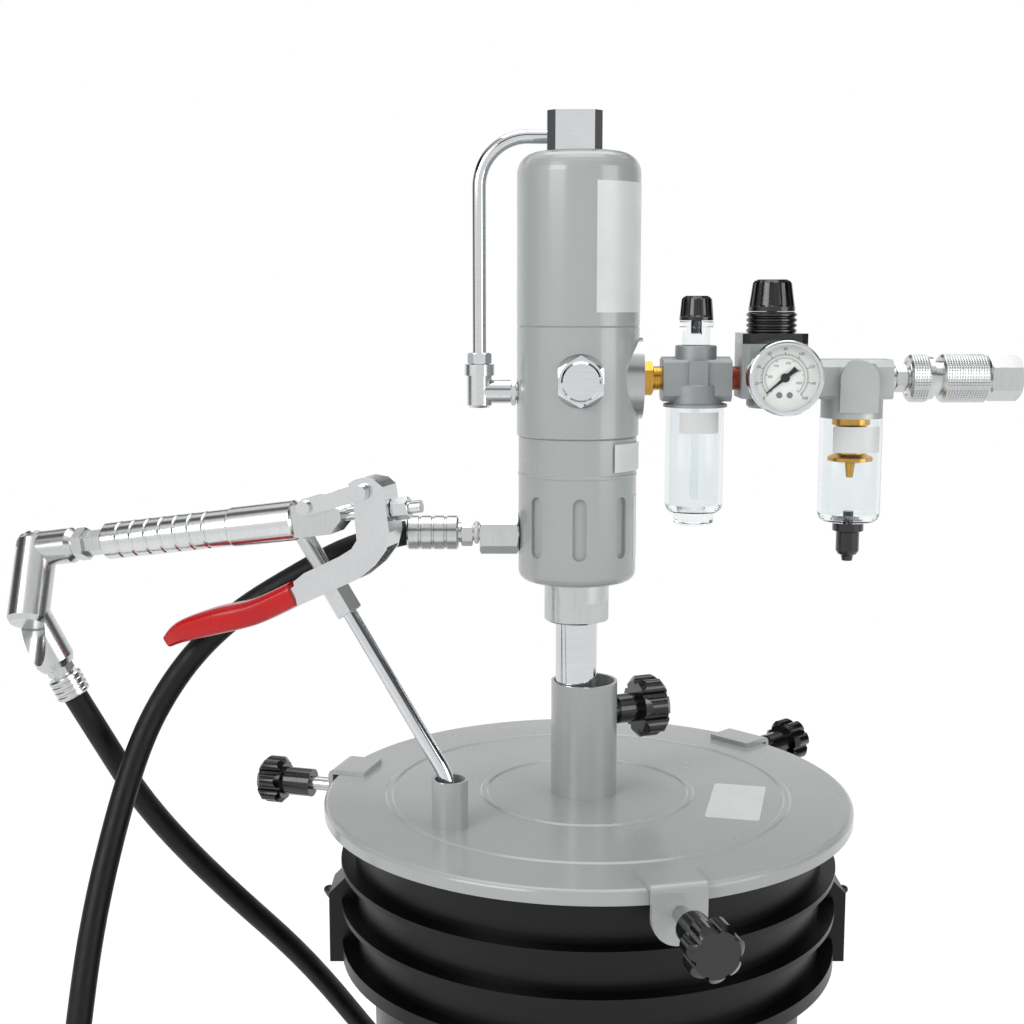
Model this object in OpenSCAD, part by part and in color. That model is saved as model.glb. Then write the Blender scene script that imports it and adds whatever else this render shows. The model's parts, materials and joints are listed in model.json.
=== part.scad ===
// Pneumatic grease pump standing on a covered pail. An air line with lubricator, regulator and filter
// feeds the motor on the right, and a hose leads grease to a lever gun parked in a holder on the left.
// Millimetres, +Z up. The origin is the centre of the pail's foot, on the floor.

/* [Pail] */
// Height of the pail up to the cover's underside
pail_h = 368; // [360:1:380]
// Outer radius of the wall above the flanges
pail_top_r = 139; // [137:0.5:141]
// Outer radius of the body under the flanges
pail_body_r = 129; // [127:0.5:129.5]
// Outer radius of the foot
pail_foot_r = 126; // [123:0.5:127]
// Thickness of wall and floor
pail_wall = 3; // [2.5:0.25:4]
// Outer radius of the stiffening flanges
flange_r = 148; // [146:0.5:149]
// Distance from the rim down to the top of the first flange
flange_drop = 32.5; // [31:0.5:34]
// Distance from one flange to the next
flange_pitch = 26; // [24:0.5:27]
// Thickness of a flange
flange_t = 3; // [2.5:0.25:4]
// Height of the skirt on the lowest flange
flange_skirt = 8; // [6:0.5:10]
// Width of the ears that carry the bail
ear_w = 30; // [26:1:32]
// How far the ears reach out past the flanges
ear_out = 7; // [6:0.5:7]
// Height of an ear
ear_h = 53; // [50:1:54]

/* [Bail] */
// Diameter of the bail's wire
bail_wire = 4.5; // [4:0.25:5]
// How far the bail's half ring runs outside the flanges, at the wire's middle
bail_out = 10; // [10:0.5:13]

/* [Cover] */
// How far the cover reaches out past the flanges
cover_out = 9.5; // [7:0.5:10]
// Thickness of the cover's plate
cover_t = 4; // [3:0.5:5]
// Height of the cover's turned-down rim
cover_rim_h = 8; // [7:0.5:10]
// Thickness of the rim
cover_rim_t = 3; // [2.5:0.25:4]
// Radii of the two embossed rings
cover_ring_in = 62; // [58:1:66]
cover_ring_out = 119; // [114:1:120]
// Width and height of an embossed ring
cover_ring_w = 5; // [4:0.5:6]
cover_ring_h = 0.8; // [0.6:0.1:1]
// Outer and inner diameter of the sleeve that takes the pump tube
sleeve_od = 39.5; // [39.5:0.5:42]
sleeve_id = 36; // [36:0.25:37.5]
// Height of the sleeve above the cover
sleeve_h = 68; // [60:1:75]
// Outer and inner diameter of the gun's holder
holder_od = 20.5; // [20:0.5:23]
holder_id = 17; // [16:0.5:18]
// Height of the holder
holder_h = 27; // [24:1:30]

/* [Clamps] */
// Width of a clamp bracket
bracket_w = 30; // [28:1:34]
// Thickness of a clamp bracket
bracket_t = 3; // [2.5:0.25:3.5]
// Height of the clamp screws below the top of the cover
clamp_drop = 12; // [11:0.5:13]
// Diameter of the clamp screws
clamp_screw = 8; // [6:1:10]
// Bare length of a clamp screw between bracket and knob
clamp_bare = 17; // [15:1:20]
// Diameter and thickness of a clamp's star knob
clamp_star_d = 30; // [28:1:34]
clamp_star_t = 15; // [13:0.5:17]
// Diameter and length of a clamp knob's hub
clamp_hub_d = 17.5; // [15:0.5:18]
clamp_hub_l = 18.5; // [16:0.5:20]
// Diameter of the screw that holds the pump tube
collar_screw = 10; // [8:1:12]
// Height of that screw above the cover
collar_screw_h = 48; // [46:1:50]
// Diameter and thickness of its star knob
collar_star_d = 38; // [36:1:42]
collar_star_t = 16; // [14:0.5:18]
// Diameter and length of its hub
collar_hub_d = 17.5; // [16:0.5:20]
collar_hub_l = 13; // [12:0.5:15]
// Number of lobes on a star knob
star_lobes = 7; // [6:1:8]

/* [Pump] */
// Diameter of the suction tube
tube_d = 24.5; // [23:0.25:24.5]
// Wall of the suction tube
tube_wall = 2; // [1.5:0.25:2.5]
// Gap between the foot valve and the pail's floor
foot_gap = 12; // [10:1:20]
// Height of the adaptor's lower face above the cover
pump_rise = 105.5; // [100:0.5:112]
// Diameter of the adaptor that carries the motor
adaptor_d = 38; // [36:0.5:40]
// Height of the adaptor
adaptor_h = 24.5; // [23:0.5:28]
// Radius of the motor's lower housing
lower_r = 34.4; // [33:0.2:35]
// Height of the lower housing
lower_h = 85; // [84:0.5:90]
// Radius of the motor's upper body
motor_r = 35.4; // [35:0.2:36]
// Height of the valve housing
valve_h = 63; // [62:0.5:66]
// Wall of the air cylinder
cylinder_wall = 4.4; // [3.5:0.1:5]
// Stroke of the air piston
stroke = 70; // [50:1:75]
// Length left free in the cylinder at the two ends of the stroke
piston_room = 5.7; // [5:0.1:8]
// Thickness of the cylinder's closed top
cylinder_roof = 10; // [8:0.5:11]
// Thickness of the air piston
piston_t = 12; // [10:1:13]
// Diameter of the piston rod
rod_d = 10; // [8:0.5:11]
// Width and height of the square fitting on top
top_w = 31; // [28:0.5:33]
top_h = 22.2; // [20:0.2:25]
// Diameter of the air tube at the side
air_tube_d = 8; // [6:0.5:8]
// Radius of its bend
air_tube_bend = 28; // [24:1:32]
// Distance of its upright run from the motor's axis
air_tube_x = 57; // [56:0.5:62]

/* [Outlet] */
// Height of the outlet above the lower housing's foot
outlet_rise = 27.5; // [26:0.5:29]
// Across flats of the large outlet hexagon
outlet_af = 22; // [20:0.5:24]
// Diameter and length of the hose ferrules
ferrule_d = 20; // [18:0.5:22]
ferrule_l = 30; // [26:1:34]
// Outer diameter of the hose
hose_d = 14.5; // [13:0.5:15]

/* [Air line] */
// Height of the air port above the valve housing's foot
port_rise = 33; // [32:0.5:34]
// Diameter of the port's boss
boss_d = 47; // [44:0.5:50]
// Diameter of the air line's pipe threads
thread_d = 13.2; // [12:0.2:13.6]
// Width of the lubricator's head
lub_w = 39.3; // [38:0.1:42]
// Diameter of the lubricator's bowl
lub_bowl_d = 33.5; // [32:0.5:35]
// Length of the lubricator's bowl
lub_bowl_l = 62; // [55:1:70]
// Width of the regulator's body
reg_w = 37.3; // [36:0.1:39]
// Diameter of the gauge's case
gauge_d = 42; // [40:0.5:43]
// Depth of the gauge's case
gauge_t = 20; // [18:0.5:22]
// Width of the filter's head
filter_w = 41.4; // [40:0.2:44]
// Diameter of the filter's bowl
filter_bowl_d = 36; // [34:0.5:37]
// Length of the filter's bowl
filter_bowl_l = 61; // [58:1:70]
// Diameter of the coupler's knurled body
coupler_d = 27.5; // [26:0.5:29]
// Travel of the coupler's sleeve
sleeve_travel = 3.5; // [3:0.25:4]

/* [Gun] */
// Turn of the parked gun about the holder's axis
gun_turn = -17; // [-20:1:-14]
// Tilt of the gun's handle
gun_tilt = 8.3; // [7:0.1:9.5]
// Diameter and length of the handle
handle_d = 21.6; // [20:0.2:23]
handle_l = 126; // [120:1:130]
// Height of the gun's head above the cover
gun_rise = 172.2; // [171:0.2:173.5]
// Diameter of the delivery pipe
pipe_d = 8.5; // [8:0.25:9]
// Radius of the delivery pipe's bend
pipe_bend = 40; // [36:1:44]
// Half the width of the lever's channel
lever_half = 10; // [9.5:0.1:10]
// Thickness of the lever's sheet
lever_t = 2; // [1.5:0.1:2.2]
// Thickness of the link plates
link_t = 2.5; // [2:0.25:3]
// Diameter of the two pivot bolts
pivot_d = 5; // [4:0.5:6]
// Diameter of the valve plunger
plunger_d = 7; // [6:0.25:7]

/* [Fits] */
// Radial play of a turning pin in its hole
pin_play = 0.05; // [0.03:0.01:0.1]
// Gap between pieces that move past each other
run_gap = 0.3; // [0.25:0.05:0.5]

/* [Hidden] */
$fn = 48;
// Overshoot that lets a cutting shape pass a face cleanly
cut = 1;
// Colours of the finishes
grey_paint = "#b4b8b6";
steel = "#b9bcbe";
chrome = "#d8dadc";
black = "#1c1c1d";
brass = "#c49a4a";
cast_grey = "#8d9193";
clear = "#e6eef2";
red = "#c8302a";

// Heights, built up from the floor
cover_r = flange_r + cover_out;
cover_top = pail_h + cover_t;
ear_x = flange_r + ear_out;
bail_r = flange_r + bail_out;
adaptor_z = cover_top + pump_rise;
lower_z = adaptor_z + adaptor_h;
valve_z = lower_z + lower_h;
cylinder_z = valve_z + valve_h;
cylinder_h = stroke + piston_t + piston_room + cylinder_roof;
top_z = cylinder_z + cylinder_h;
outlet_z = lower_z + outlet_rise;
port_z = valve_z + port_rise;
ear_top = pail_h - flange_drop - flange_pitch / 2;
bail_z = ear_top - 13;

// The sleeve stands a little beside the pail's axis, and the collar screw presses the tube against its wall
sleeve_x = -2;
sleeve_y = 0;
pump_x = -7;
pump_y = -2;
collar_turn = atan2(sleeve_y - pump_y, sleeve_x - pump_x);
tube_shift = norm([sleeve_x - pump_x, sleeve_y - pump_y]);

// Places of the three clamps round the rim, and of the gun's holder
clamp_turns = [-76, 44, 164];
bracket_r = cover_r + 1.5;
bracket_low = cover_top - 29;
holder_x = -80;
holder_y = -62;

// A round bar on the Z axis
module bar(d, from, to) {
    translate([0, 0, from]) cylinder(d = d, h = to - from);
}

// A hexagonal bar on the Z axis, with its corners turned off at both ends
module hex_bar(af, from, to, bevel = 0.8) {
    intersection() {
        translate([0, 0, from]) cylinder(d = af / cos(30), h = to - from, $fn = 6);
        turned([[0, from], [af / 2 - 0.2, from], [af / cos(30) / 2 + 0.1, from + bevel],
            [af / cos(30) / 2 + 0.1, to - bevel], [af / 2 - 0.2, to], [0, to]]);
    }
}

// A hollow round bar on the Z axis
module pipe(od, id, from, to) {
    difference() {
        bar(od, from, to);
        bar(id, from - cut, to + cut);
    }
}

// A solid turned about the Z axis from [radius, height] points
module turned(points) {
    rotate_extrude() polygon(points);
}

// Points of an arc, as a list, for the corners of a profile
function arc(x, y, r, a0, a1, n = 5) = [for (i = [0:n]) [x + r * cos(a0 + (a1 - a0) * i / n),
    y + r * sin(a0 + (a1 - a0) * i / n)]];

// Turns the Z axis of its children to +X, to -X, to -Y
module to_right() {
    rotate([0, 90, 0]) children();
}
module to_left() {
    rotate([0, -90, 0]) children();
}
module to_front() {
    rotate([90, 0, 0]) children();
}

// Puts its children on the pump's axis
module on_pump() {
    translate([pump_x, pump_y, 0]) children();
}

// A knob's star outline: a core, with round lobes on its edge
module star(d) {
    lobe_r = d * 0.135;
    circle(d = d * 0.74);
    for (i = [0:star_lobes - 1]) rotate(i * 360 / star_lobes) translate([d / 2 - lobe_r, 0]) circle(lobe_r);
}

// A star knob on a hub with its moulded-in screw, along +X: the hub starts at hub_at, the screw at tip
module star_knob(screw, tip, hub_at, hub_d, hub_l, star_d, star_t) {
    edge = star_t * 0.2;
    star_at = hub_at + hub_l;
    to_right() {
        bar(screw, tip, hub_at + cut);
        bar(hub_d, hub_at, star_at + cut);
        intersection() {
            translate([0, 0, star_at]) linear_extrude(star_t) star(star_d);
            turned([[0, star_at], [star_d / 2 - edge, star_at], [star_d / 2 + 0.1, star_at + edge],
                [star_d / 2 + 0.1, star_at + star_t - edge], [star_d / 2 - edge, star_at + star_t],
                [0, star_at + star_t]]);
        }
    }
}

// The pail: a foot, a slightly tapered body, and three flanges round a wider mouth
module pail() {
    flange_1 = pail_h - flange_drop;
    flange_2 = flange_1 - flange_pitch;
    flange_3 = flange_2 - flange_pitch;
    foot_bevel = 2;
    bite = pail_wall / 2;
    color(black) difference() {
        union() {
            turned([[0, 0], [pail_foot_r - foot_bevel, 0], [pail_foot_r, foot_bevel],
                [pail_body_r, flange_3 - flange_t], [flange_r - flange_t, flange_3 - flange_t],
                [flange_r - flange_t, flange_3 - flange_skirt], [flange_r, flange_3 - flange_skirt],
                [flange_r, flange_3], [pail_top_r, flange_3],
                [pail_top_r, flange_2 - flange_t], [flange_r, flange_2 - flange_t],
                [flange_r, flange_2], [pail_top_r, flange_2],
                [pail_top_r, flange_1 - flange_t], [flange_r, flange_1 - flange_t],
                [flange_r, flange_1], [pail_top_r, flange_1],
                [pail_top_r, pail_h], [pail_top_r - pail_wall, pail_h],
                [pail_top_r - pail_wall, flange_3], [pail_body_r - pail_wall, flange_3],
                [pail_foot_r - pail_wall, pail_wall], [0, pail_wall]]);
            for (side = [0, 1]) mirror([side, 0, 0]) rotate([90, 0, 0])
                linear_extrude(ear_w, center = true)
                    polygon([[pail_body_r - bite, ear_top - ear_h], [ear_x, ear_top - ear_h],
                        [ear_x, ear_top - 10], [ear_x - 10, ear_top], [pail_top_r - bite, ear_top],
                        [pail_top_r - bite, flange_3 - bite / 2],
                        [pail_body_r - bite, flange_3 - bite / 2]]);
        }
        for (side = [0, 1]) mirror([side, 0, 0]) translate([ear_x - pin_hole, 0, bail_z])
            to_right() cylinder(d = bail_wire + 2 * pin_play, h = pin_hole + cut);
    }
}

// The bail's pins turn in the ears, and its half ring leans on the back of the pail
pin_hole = 12.5;
bail_bend = bail_r - ear_x - run_gap;
bail_lean = acos((max(pail_body_r, pail_foot_r) + bail_wire / 2 + run_gap) / (bail_r + bail_bend));
module pail_bail() {
    pin_l = pin_hole - 0.5 + run_gap;
    color(black) translate([0, 0, bail_z]) rotate([-bail_lean, 0, 0]) {
        translate([0, bail_bend, 0]) rotate_extrude(angle = 180)
            translate([bail_r, 0]) circle(d = bail_wire);
        for (side = [0, 1]) mirror([side, 0, 0]) {
            translate([bail_r - bail_bend, bail_bend, 0]) rotate(-90) rotate_extrude(angle = 90)
                translate([bail_bend, 0]) circle(d = bail_wire);
            translate([bail_r - bail_bend - pin_l, 0, 0]) to_right() cylinder(d = bail_wire, h = pin_l);
        }
    }
}

// The cover: a plate with a turned-down rim and two embossed rings, open under the sleeve
module cover() {
    edge = 3;
    color(grey_paint) difference() {
        union() {
            turned(concat([[0, pail_h], [cover_r - cover_rim_t, pail_h],
                [cover_r - cover_rim_t, cover_top - cover_rim_h], [cover_r, cover_top - cover_rim_h]],
                arc(cover_r - edge, cover_top - edge, edge, 0, 90), [[0, cover_top]]));
            for (r = [cover_ring_in, cover_ring_out]) turned([[r - cover_ring_w / 2, cover_top - 1],
                [r + cover_ring_w / 2, cover_top - 1], [r + cover_ring_w / 2, cover_top],
                [r + cover_ring_w / 4, cover_top + cover_ring_h],
                [r - cover_ring_w / 4, cover_top + cover_ring_h], [r - cover_ring_w / 2, cover_top]]);
        }
        translate([sleeve_x, sleeve_y, 0]) bar(sleeve_id, pail_h - cut, cover_top + cut);
    }
}

// The sleeve on the cover, drilled for the collar screw
module collar_sleeve() {
    color(grey_paint) translate([sleeve_x, sleeve_y, 0]) difference() {
        pipe(sleeve_od, sleeve_id, cover_top, cover_top + sleeve_h);
        translate([0, 0, cover_top + collar_screw_h]) rotate(collar_turn) to_right()
            bar(collar_screw + 2 * pin_play, sleeve_id / 4, sleeve_od);
    }
}

// The short tube that the gun's pipe stands in
module gun_holder() {
    color(grey_paint) translate([holder_x, holder_y, 0])
        pipe(holder_od, holder_id, cover_top, cover_top + holder_h);
}

// One clamp bracket: a tab on the cover, a rounded bend and a plate with a round end beside the rim
module clamp_bracket() {
    tab = 24;
    bend = bracket_t + 1;
    outer = bracket_r + bracket_t;
    top = cover_top + bracket_t;
    round_z = bracket_low + bracket_w / 2;
    difference() {
        intersection() {
            rotate([90, 0, 0]) linear_extrude(bracket_w, center = true)
                polygon(concat([[bracket_r, bracket_low], [outer, bracket_low]],
                    arc(outer - bend, top - bend, bend, 0, 90), [[outer - tab, top],
                    [outer - tab, cover_top], [bracket_r, cover_top]]));
            union() {
                translate([outer - tab - cut, -bracket_w / 2, round_z])
                    cube([tab + 2 * cut, bracket_w, top + cut - round_z]);
                translate([bracket_r - cut, 0, round_z]) to_right()
                    cylinder(d = bracket_w, h = bracket_t + 2 * cut);
            }
        }
        translate([0, 0, cover_top - clamp_drop]) to_right()
            bar(clamp_screw + 2 * pin_play, bracket_r - cut, outer + cut);
    }
}
module clamp_brackets() {
    color(grey_paint) for (turn = clamp_turns) rotate(turn) clamp_bracket();
}

// A clamp's star knob, its screw bearing on the pail's wall
module clamp_knob(turn) {
    color(black) rotate(turn) translate([0, 0, cover_top - clamp_drop])
        star_knob(clamp_screw, pail_top_r + run_gap, bracket_r + bracket_t + clamp_bare,
            clamp_hub_d, clamp_hub_l, clamp_star_d, clamp_star_t);
}
module clamp_knob_front() {
    clamp_knob(clamp_turns[0]);
}
module clamp_knob_right() {
    clamp_knob(clamp_turns[1]);
}
module clamp_knob_left() {
    clamp_knob(clamp_turns[2]);
}

// The star knob whose screw presses the pump's tube against the sleeve
module collar_knob() {
    hub_gap = 1.2;
    color(black) translate([sleeve_x, sleeve_y, cover_top + collar_screw_h]) rotate(collar_turn)
        star_knob(collar_screw, tube_d / 2 - tube_shift + run_gap, sleeve_od / 2 + hub_gap,
            collar_hub_d, collar_hub_l, collar_star_d, collar_star_t);
}

// Inner diameter of the air cylinder, and the passage of the rod and the grease below it
bore_d = 2 * (motor_r - cylinder_wall);
passage_d = 16;
seam = 0.6;

// The air cylinder: a cup with a round shoulder, open below
module motor_cylinder() {
    shoulder = 12;
    air_hole = 6;
    color(grey_paint) on_pump() difference() {
        turned(concat([[0, cylinder_z], [motor_r - seam, cylinder_z], [motor_r, cylinder_z + seam]],
            arc(motor_r - shoulder, top_z - shoulder, shoulder, 0, 90, 8), [[0, top_z]]));
        bar(bore_d, cylinder_z - cut, top_z - cylinder_roof);
        bar(air_hole, top_z - cylinder_roof - cut, top_z + cut);
    }
}

// Depth of the flat that the front plug seats on, from the motor's axis, and the boss's face
plug_seat = 33.2;
boss_reach = motor_r + 1.5;
plug_thread = 20;
elbow_thread = 10;
elbow_rise = 25.2;
thread_in = 12;

// The valve housing, with the boss of the air port, the front plug's seat and the elbow's hole
module valve_housing() {
    color(grey_paint) on_pump() difference() {
        union() {
            turned([[0, valve_z], [motor_r - seam, valve_z], [motor_r, valve_z + seam],
                [motor_r, cylinder_z - seam], [motor_r - seam, cylinder_z], [0, cylinder_z]]);
            translate([0, 0, port_z]) to_right() bar(boss_d, 0, boss_reach);
        }
        bar(rod_d + 2 * pin_play, valve_z - cut, cylinder_z + cut);
        translate([0, 0, port_z]) to_right()
            bar(thread_d + 2 * pin_play, boss_reach - thread_in - 1, boss_reach + cut);
        translate([0, 0, port_z]) to_front() {
            bar(plug_af / cos(30) + 1, plug_seat, motor_r + cut);
            bar(plug_thread + 2 * pin_play, plug_seat - thread_in - 1, motor_r);
        }
        translate([0, 0, valve_z + elbow_rise]) to_left()
            bar(elbow_thread + 2 * pin_play, motor_r - thread_in, motor_r + cut);
    }
}

// The lower housing, with a faint ridge, a rounded foot and a ring of upright recesses
recess_w = 8;
recess_h = 35.5;
recess_rise = 16;
recess_t = 2.5;
module lower_housing() {
    foot_round = 6;
    ridge_z = lower_z + 62;
    ridge_h = 2;
    ridge_t = 0.4;
    color(grey_paint) on_pump() difference() {
        turned(concat([[0, lower_z]], arc(lower_r - foot_round, lower_z + foot_round, foot_round, -90, 0),
            [[lower_r, ridge_z], [lower_r + ridge_t, ridge_z + ridge_t],
            [lower_r + ridge_t, ridge_z + ridge_h - ridge_t], [lower_r, ridge_z + ridge_h],
            [lower_r, valve_z - seam], [lower_r - seam, valve_z], [0, valve_z]]));
        for (turn = [-135:45:135]) rotate(turn)
            translate([lower_r - recess_t, 0, lower_z + recess_rise + recess_h / 2])
                rotate([0, 90, 0]) linear_extrude(recess_t + cut) {
                    square([recess_h - recess_w, recess_w], center = true);
                    for (end = [-1, 1]) translate([end * (recess_h - recess_w) / 2, 0])
                        circle(d = recess_w);
                }
        bar(passage_d, lower_z - cut, outlet_z + passage_d / 2);
        bar(rod_d + 2 * pin_play, outlet_z, valve_z + cut);
        translate([0, 0, outlet_z]) to_left()
            bar(outlet_thread + 2 * pin_play, 0, lower_r + cut);
    }
}

// The block on top: a square with cut corners, drilled for the air tube
top_shift = -3;
tube_rise = 8.9;
tube_in = 8;
module top_fitting() {
    corner = 4.5;
    half = top_w / 2;
    air_hole = 6;
    color(chrome) on_pump() difference() {
        translate([top_shift, 0, top_z]) linear_extrude(top_h)
            polygon([[half, half - corner], [half - corner, half], [corner - half, half],
                [-half, half - corner], [-half, corner - half], [corner - half, -half],
                [half - corner, -half], [half, corner - half]]);
        bar(air_hole, top_z - cut, top_z + tube_rise);
        translate([0, 0, top_z + tube_rise]) to_left()
            bar(air_tube_d + 2 * pin_play, half - top_shift - tube_in - 0.5, half - top_shift + cut);
        translate([0, 0, top_z + tube_rise]) to_left() bar(air_hole, 0, half);
    }
}

// The air tube: out of the block, over a bend and down to the elbow
collar_z = valve_z + elbow_rise + 9.5;
collar_h = 6.4;
nut_h = 6.6;
module air_tube() {
    level = top_z + tube_rise;
    start = top_w / 2 - top_shift - tube_in;
    color(chrome) on_pump() {
        translate([0, 0, level]) to_left() bar(air_tube_d, start, air_tube_x - air_tube_bend);
        translate([air_tube_bend - air_tube_x, 0, level - air_tube_bend]) rotate([90, 0, 0]) rotate(90)
            rotate_extrude(angle = 90) translate([air_tube_bend, 0]) circle(d = air_tube_d);
        translate([-air_tube_x, 0, 0]) bar(air_tube_d, collar_z + 1, level - air_tube_bend);
    }
}

// The nut that closes on the air tube
module tube_nut() {
    nut_af = 12;
    color(chrome) on_pump() translate([-air_tube_x, 0, 0]) difference() {
        hex_bar(nut_af, collar_z + collar_h, collar_z + collar_h + nut_h);
        bar(air_tube_d + 2 * pin_play, collar_z, collar_z + collar_h + nut_h + cut);
    }
}

// The elbow: collar, upright body, an arm with a hexagon, and the thread in the housing
module tube_elbow() {
    collar_d = 17.3;
    body_d = 14.5;
    drop = 9.1;
    arm_z = valve_z + elbow_rise;
    hex_l = 3;
    color(steel) on_pump() difference() {
        union() {
            translate([-air_tube_x, 0, 0]) {
                bar(collar_d, collar_z, collar_z + collar_h);
                turned([[0, arm_z - drop], [body_d / 2 - 1.5, arm_z - drop], [body_d / 2, arm_z - drop + 1.5],
                    [body_d / 2, collar_z + 1], [0, collar_z + 1]]);
            }
            translate([0, 0, arm_z]) to_left() {
                bar(body_d - 1, motor_r + hex_l, air_tube_x);
                hex_bar(body_d - 0.5, motor_r + run_gap, motor_r + hex_l + 0.5);
                bar(elbow_thread, motor_r - thread_in + 1, motor_r + hex_l);
            }
        }
        translate([-air_tube_x, 0, 0]) bar(air_tube_d + 2 * pin_play, collar_z + 1, collar_z + collar_h + cut);
    }
}

// The big hexagonal plug in front, with a turned face
plug_af = 25.4;
module front_plug() {
    hex_t = 6.8;
    face_d = 22.4;
    face_t = 3;
    face = plug_seat + hex_t + face_t;
    color(chrome) on_pump() translate([0, 0, port_z]) to_front() rotate(90) {
        bar(plug_thread, plug_seat - thread_in, plug_seat + 1);
        hex_bar(plug_af, plug_seat, plug_seat + hex_t, 1.2);
        turned([[0, plug_seat], [face_d / 2, plug_seat], [face_d / 2, face - 1], [face_d / 2 - 1, face],
            [0, face]]);
    }
}

// The adaptor between motor and tube, with a lip on top and wrench flats below
adaptor_in = 18;
module tube_adaptor() {
    flat_h = 12.5;
    flat_af = 33;
    lip_h = 3;
    lip_t = 0.8;
    color(steel) on_pump() difference() {
        turned([[0, adaptor_z], [adaptor_d / 2 - 1, adaptor_z], [adaptor_d / 2, adaptor_z + 1],
            [adaptor_d / 2, lower_z - lip_h], [adaptor_d / 2 + lip_t, lower_z - lip_h],
            [adaptor_d / 2 + lip_t, lower_z], [0, lower_z]]);
        for (turn = [-45, 135]) rotate(turn) translate([flat_af / 2, -adaptor_d, adaptor_z - cut])
            cube([adaptor_d, 2 * adaptor_d, flat_h + cut]);
        bar(tube_d + 2 * pin_play, adaptor_z - cut, adaptor_z + adaptor_in);
        bar(passage_d, adaptor_z, lower_z + cut);
    }
}

// The suction tube, from the adaptor through the sleeve to the foot valve
foot_z = pail_wall + foot_gap;
foot_h = 30;
foot_in = 12;
module suction_tube() {
    color(chrome) on_pump()
        pipe(tube_d, tube_d - 2 * tube_wall, foot_z + foot_h - foot_in, adaptor_z + adaptor_in);
}

// The foot valve: a body screwed on the tube, with four intake windows
module foot_valve() {
    wall = 2.5;
    window_w = 9;
    window_h = 8;
    outer = tube_d + 2 * pin_play + 2 * wall;
    color(steel) on_pump() difference() {
        turned([[0, foot_z], [outer / 2 - 2, foot_z], [outer / 2, foot_z + 2],
            [outer / 2, foot_z + foot_h], [0, foot_z + foot_h]]);
        bar(tube_d + 2 * pin_play, foot_z + foot_h - foot_in, foot_z + foot_h + cut);
        bar(passage_d, foot_z + wall, foot_z + foot_h);
        for (turn = [0, 90]) rotate(turn)
            translate([-outer, -window_w / 2, foot_z + 2 * wall]) cube([2 * outer, window_w, window_h]);
    }
}

// The air piston at the foot of its stroke, and the rod that it drives
piston_z = cylinder_z + 1;
module air_piston() {
    color(steel) on_pump() difference() {
        turned([[0, piston_z], [bore_d / 2 - 2, piston_z], [bore_d / 2 - pin_play, piston_z + 2],
            [bore_d / 2 - pin_play, piston_z + piston_t - 2], [bore_d / 2 - 2, piston_z + piston_t],
            [0, piston_z + piston_t]]);
        bar(rod_d + 2 * pin_play, piston_z - cut, piston_z + piston_t + cut);
    }
}
module piston_rod() {
    pump_piston_h = 18;
    rod_foot = foot_z + foot_h + 10;
    color(steel) on_pump() {
        bar(rod_d, rod_foot, piston_z + piston_t);
        bar(tube_d - 2 * tube_wall - 2 * pin_play, rod_foot, rod_foot + pump_piston_h);
    }
}

// The outlet: a large hexagon with a thread at both ends
outlet_thread = 9.7;
outlet_hex_l = 22.6;
outlet_end = lower_r + 0.1 + outlet_hex_l;
module outlet_adaptor() {
    color(steel) on_pump() translate([0, 0, outlet_z]) to_left() {
        bar(outlet_thread, lower_r - thread_in, outlet_end + 11);
        hex_bar(outlet_af, lower_r + 0.1, outlet_end);
    }
}

// A hose end along +Z from 0: a small hexagon, and a ferrule crimped in rings on the hose
module hose_end(hex_af, hex_l, length) {
    neck = 1.5;
    groove = 0.6;
    barrel = hex_l + neck;
    ring = (length - barrel) / 4;
    hex_bar(hex_af, 0, hex_l);
    bar(hex_af - 2, hex_l - 0.5, barrel + 0.5);
    turned(concat([[0, barrel], [ferrule_d / 2 - 1, barrel], [ferrule_d / 2, barrel + 1]],
        [for (i = [1:3], p = [[0, -1], [-groove, -0.4], [-groove, 0.4], [0, 1]])
            [ferrule_d / 2 + p[0], barrel + i * ring + p[1]]],
        [[ferrule_d / 2, length - 1], [ferrule_d / 2 - 1, length], [0, length]]));
}
ferrule_start = outlet_end + 4;
ferrule_hex_l = 7;
hose_start = ferrule_start + ferrule_hex_l + 1.5 + ferrule_l;
module hose_ferrule() {
    hex_af = 14;
    color(steel) on_pump() translate([0, 0, outlet_z]) to_left() difference() {
        translate([0, 0, ferrule_start]) hose_end(hex_af, ferrule_hex_l, hose_start - ferrule_start);
        bar(outlet_thread + 2 * pin_play, ferrule_start - cut, outlet_end + 11.5);
    }
}

// The hose's route: out of the pump's ferrule, down in front and round on the floor, up to the gun
ROUTE = [[-140, -3, 521], [-171, -1, 504], [-205, 3, 483], [-233, 6, 458], [-253, 1, 431],
    [-267, -13, 401], [-278, -36, 355], [-286, -56, 308], [-290, -73, 263], [-294, -85, 215],
    [-296, -92, 170], [-298, -94, 125], [-299, -86, 82], [-298, -66, 45], [-295, -35, 20],
    [-290, 5, 8], [-279, 55, 8], [-258, 108, 8], [-226, 155, 8], [-186, 195, 8], [-140, 226, 8],
    [-95, 250, 8], [-48, 268, 8], [0, 280, 8], [48, 286, 8], [90, 278, 8], [117, 252, 8],
    [118, 215, 8], [95, 187, 8], [58, 176, 9], [15, 175, 14], [-28, 173, 30], [-70, 163, 59],
    [-109, 146, 99], [-141, 125, 145], [-167, 103, 193], [-193, 82, 236], [-223, 61, 277],
    [-252, 42, 318], [-276, 24, 359], [-292, 10, 397]];
HOSE_SIDES = 10;

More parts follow.
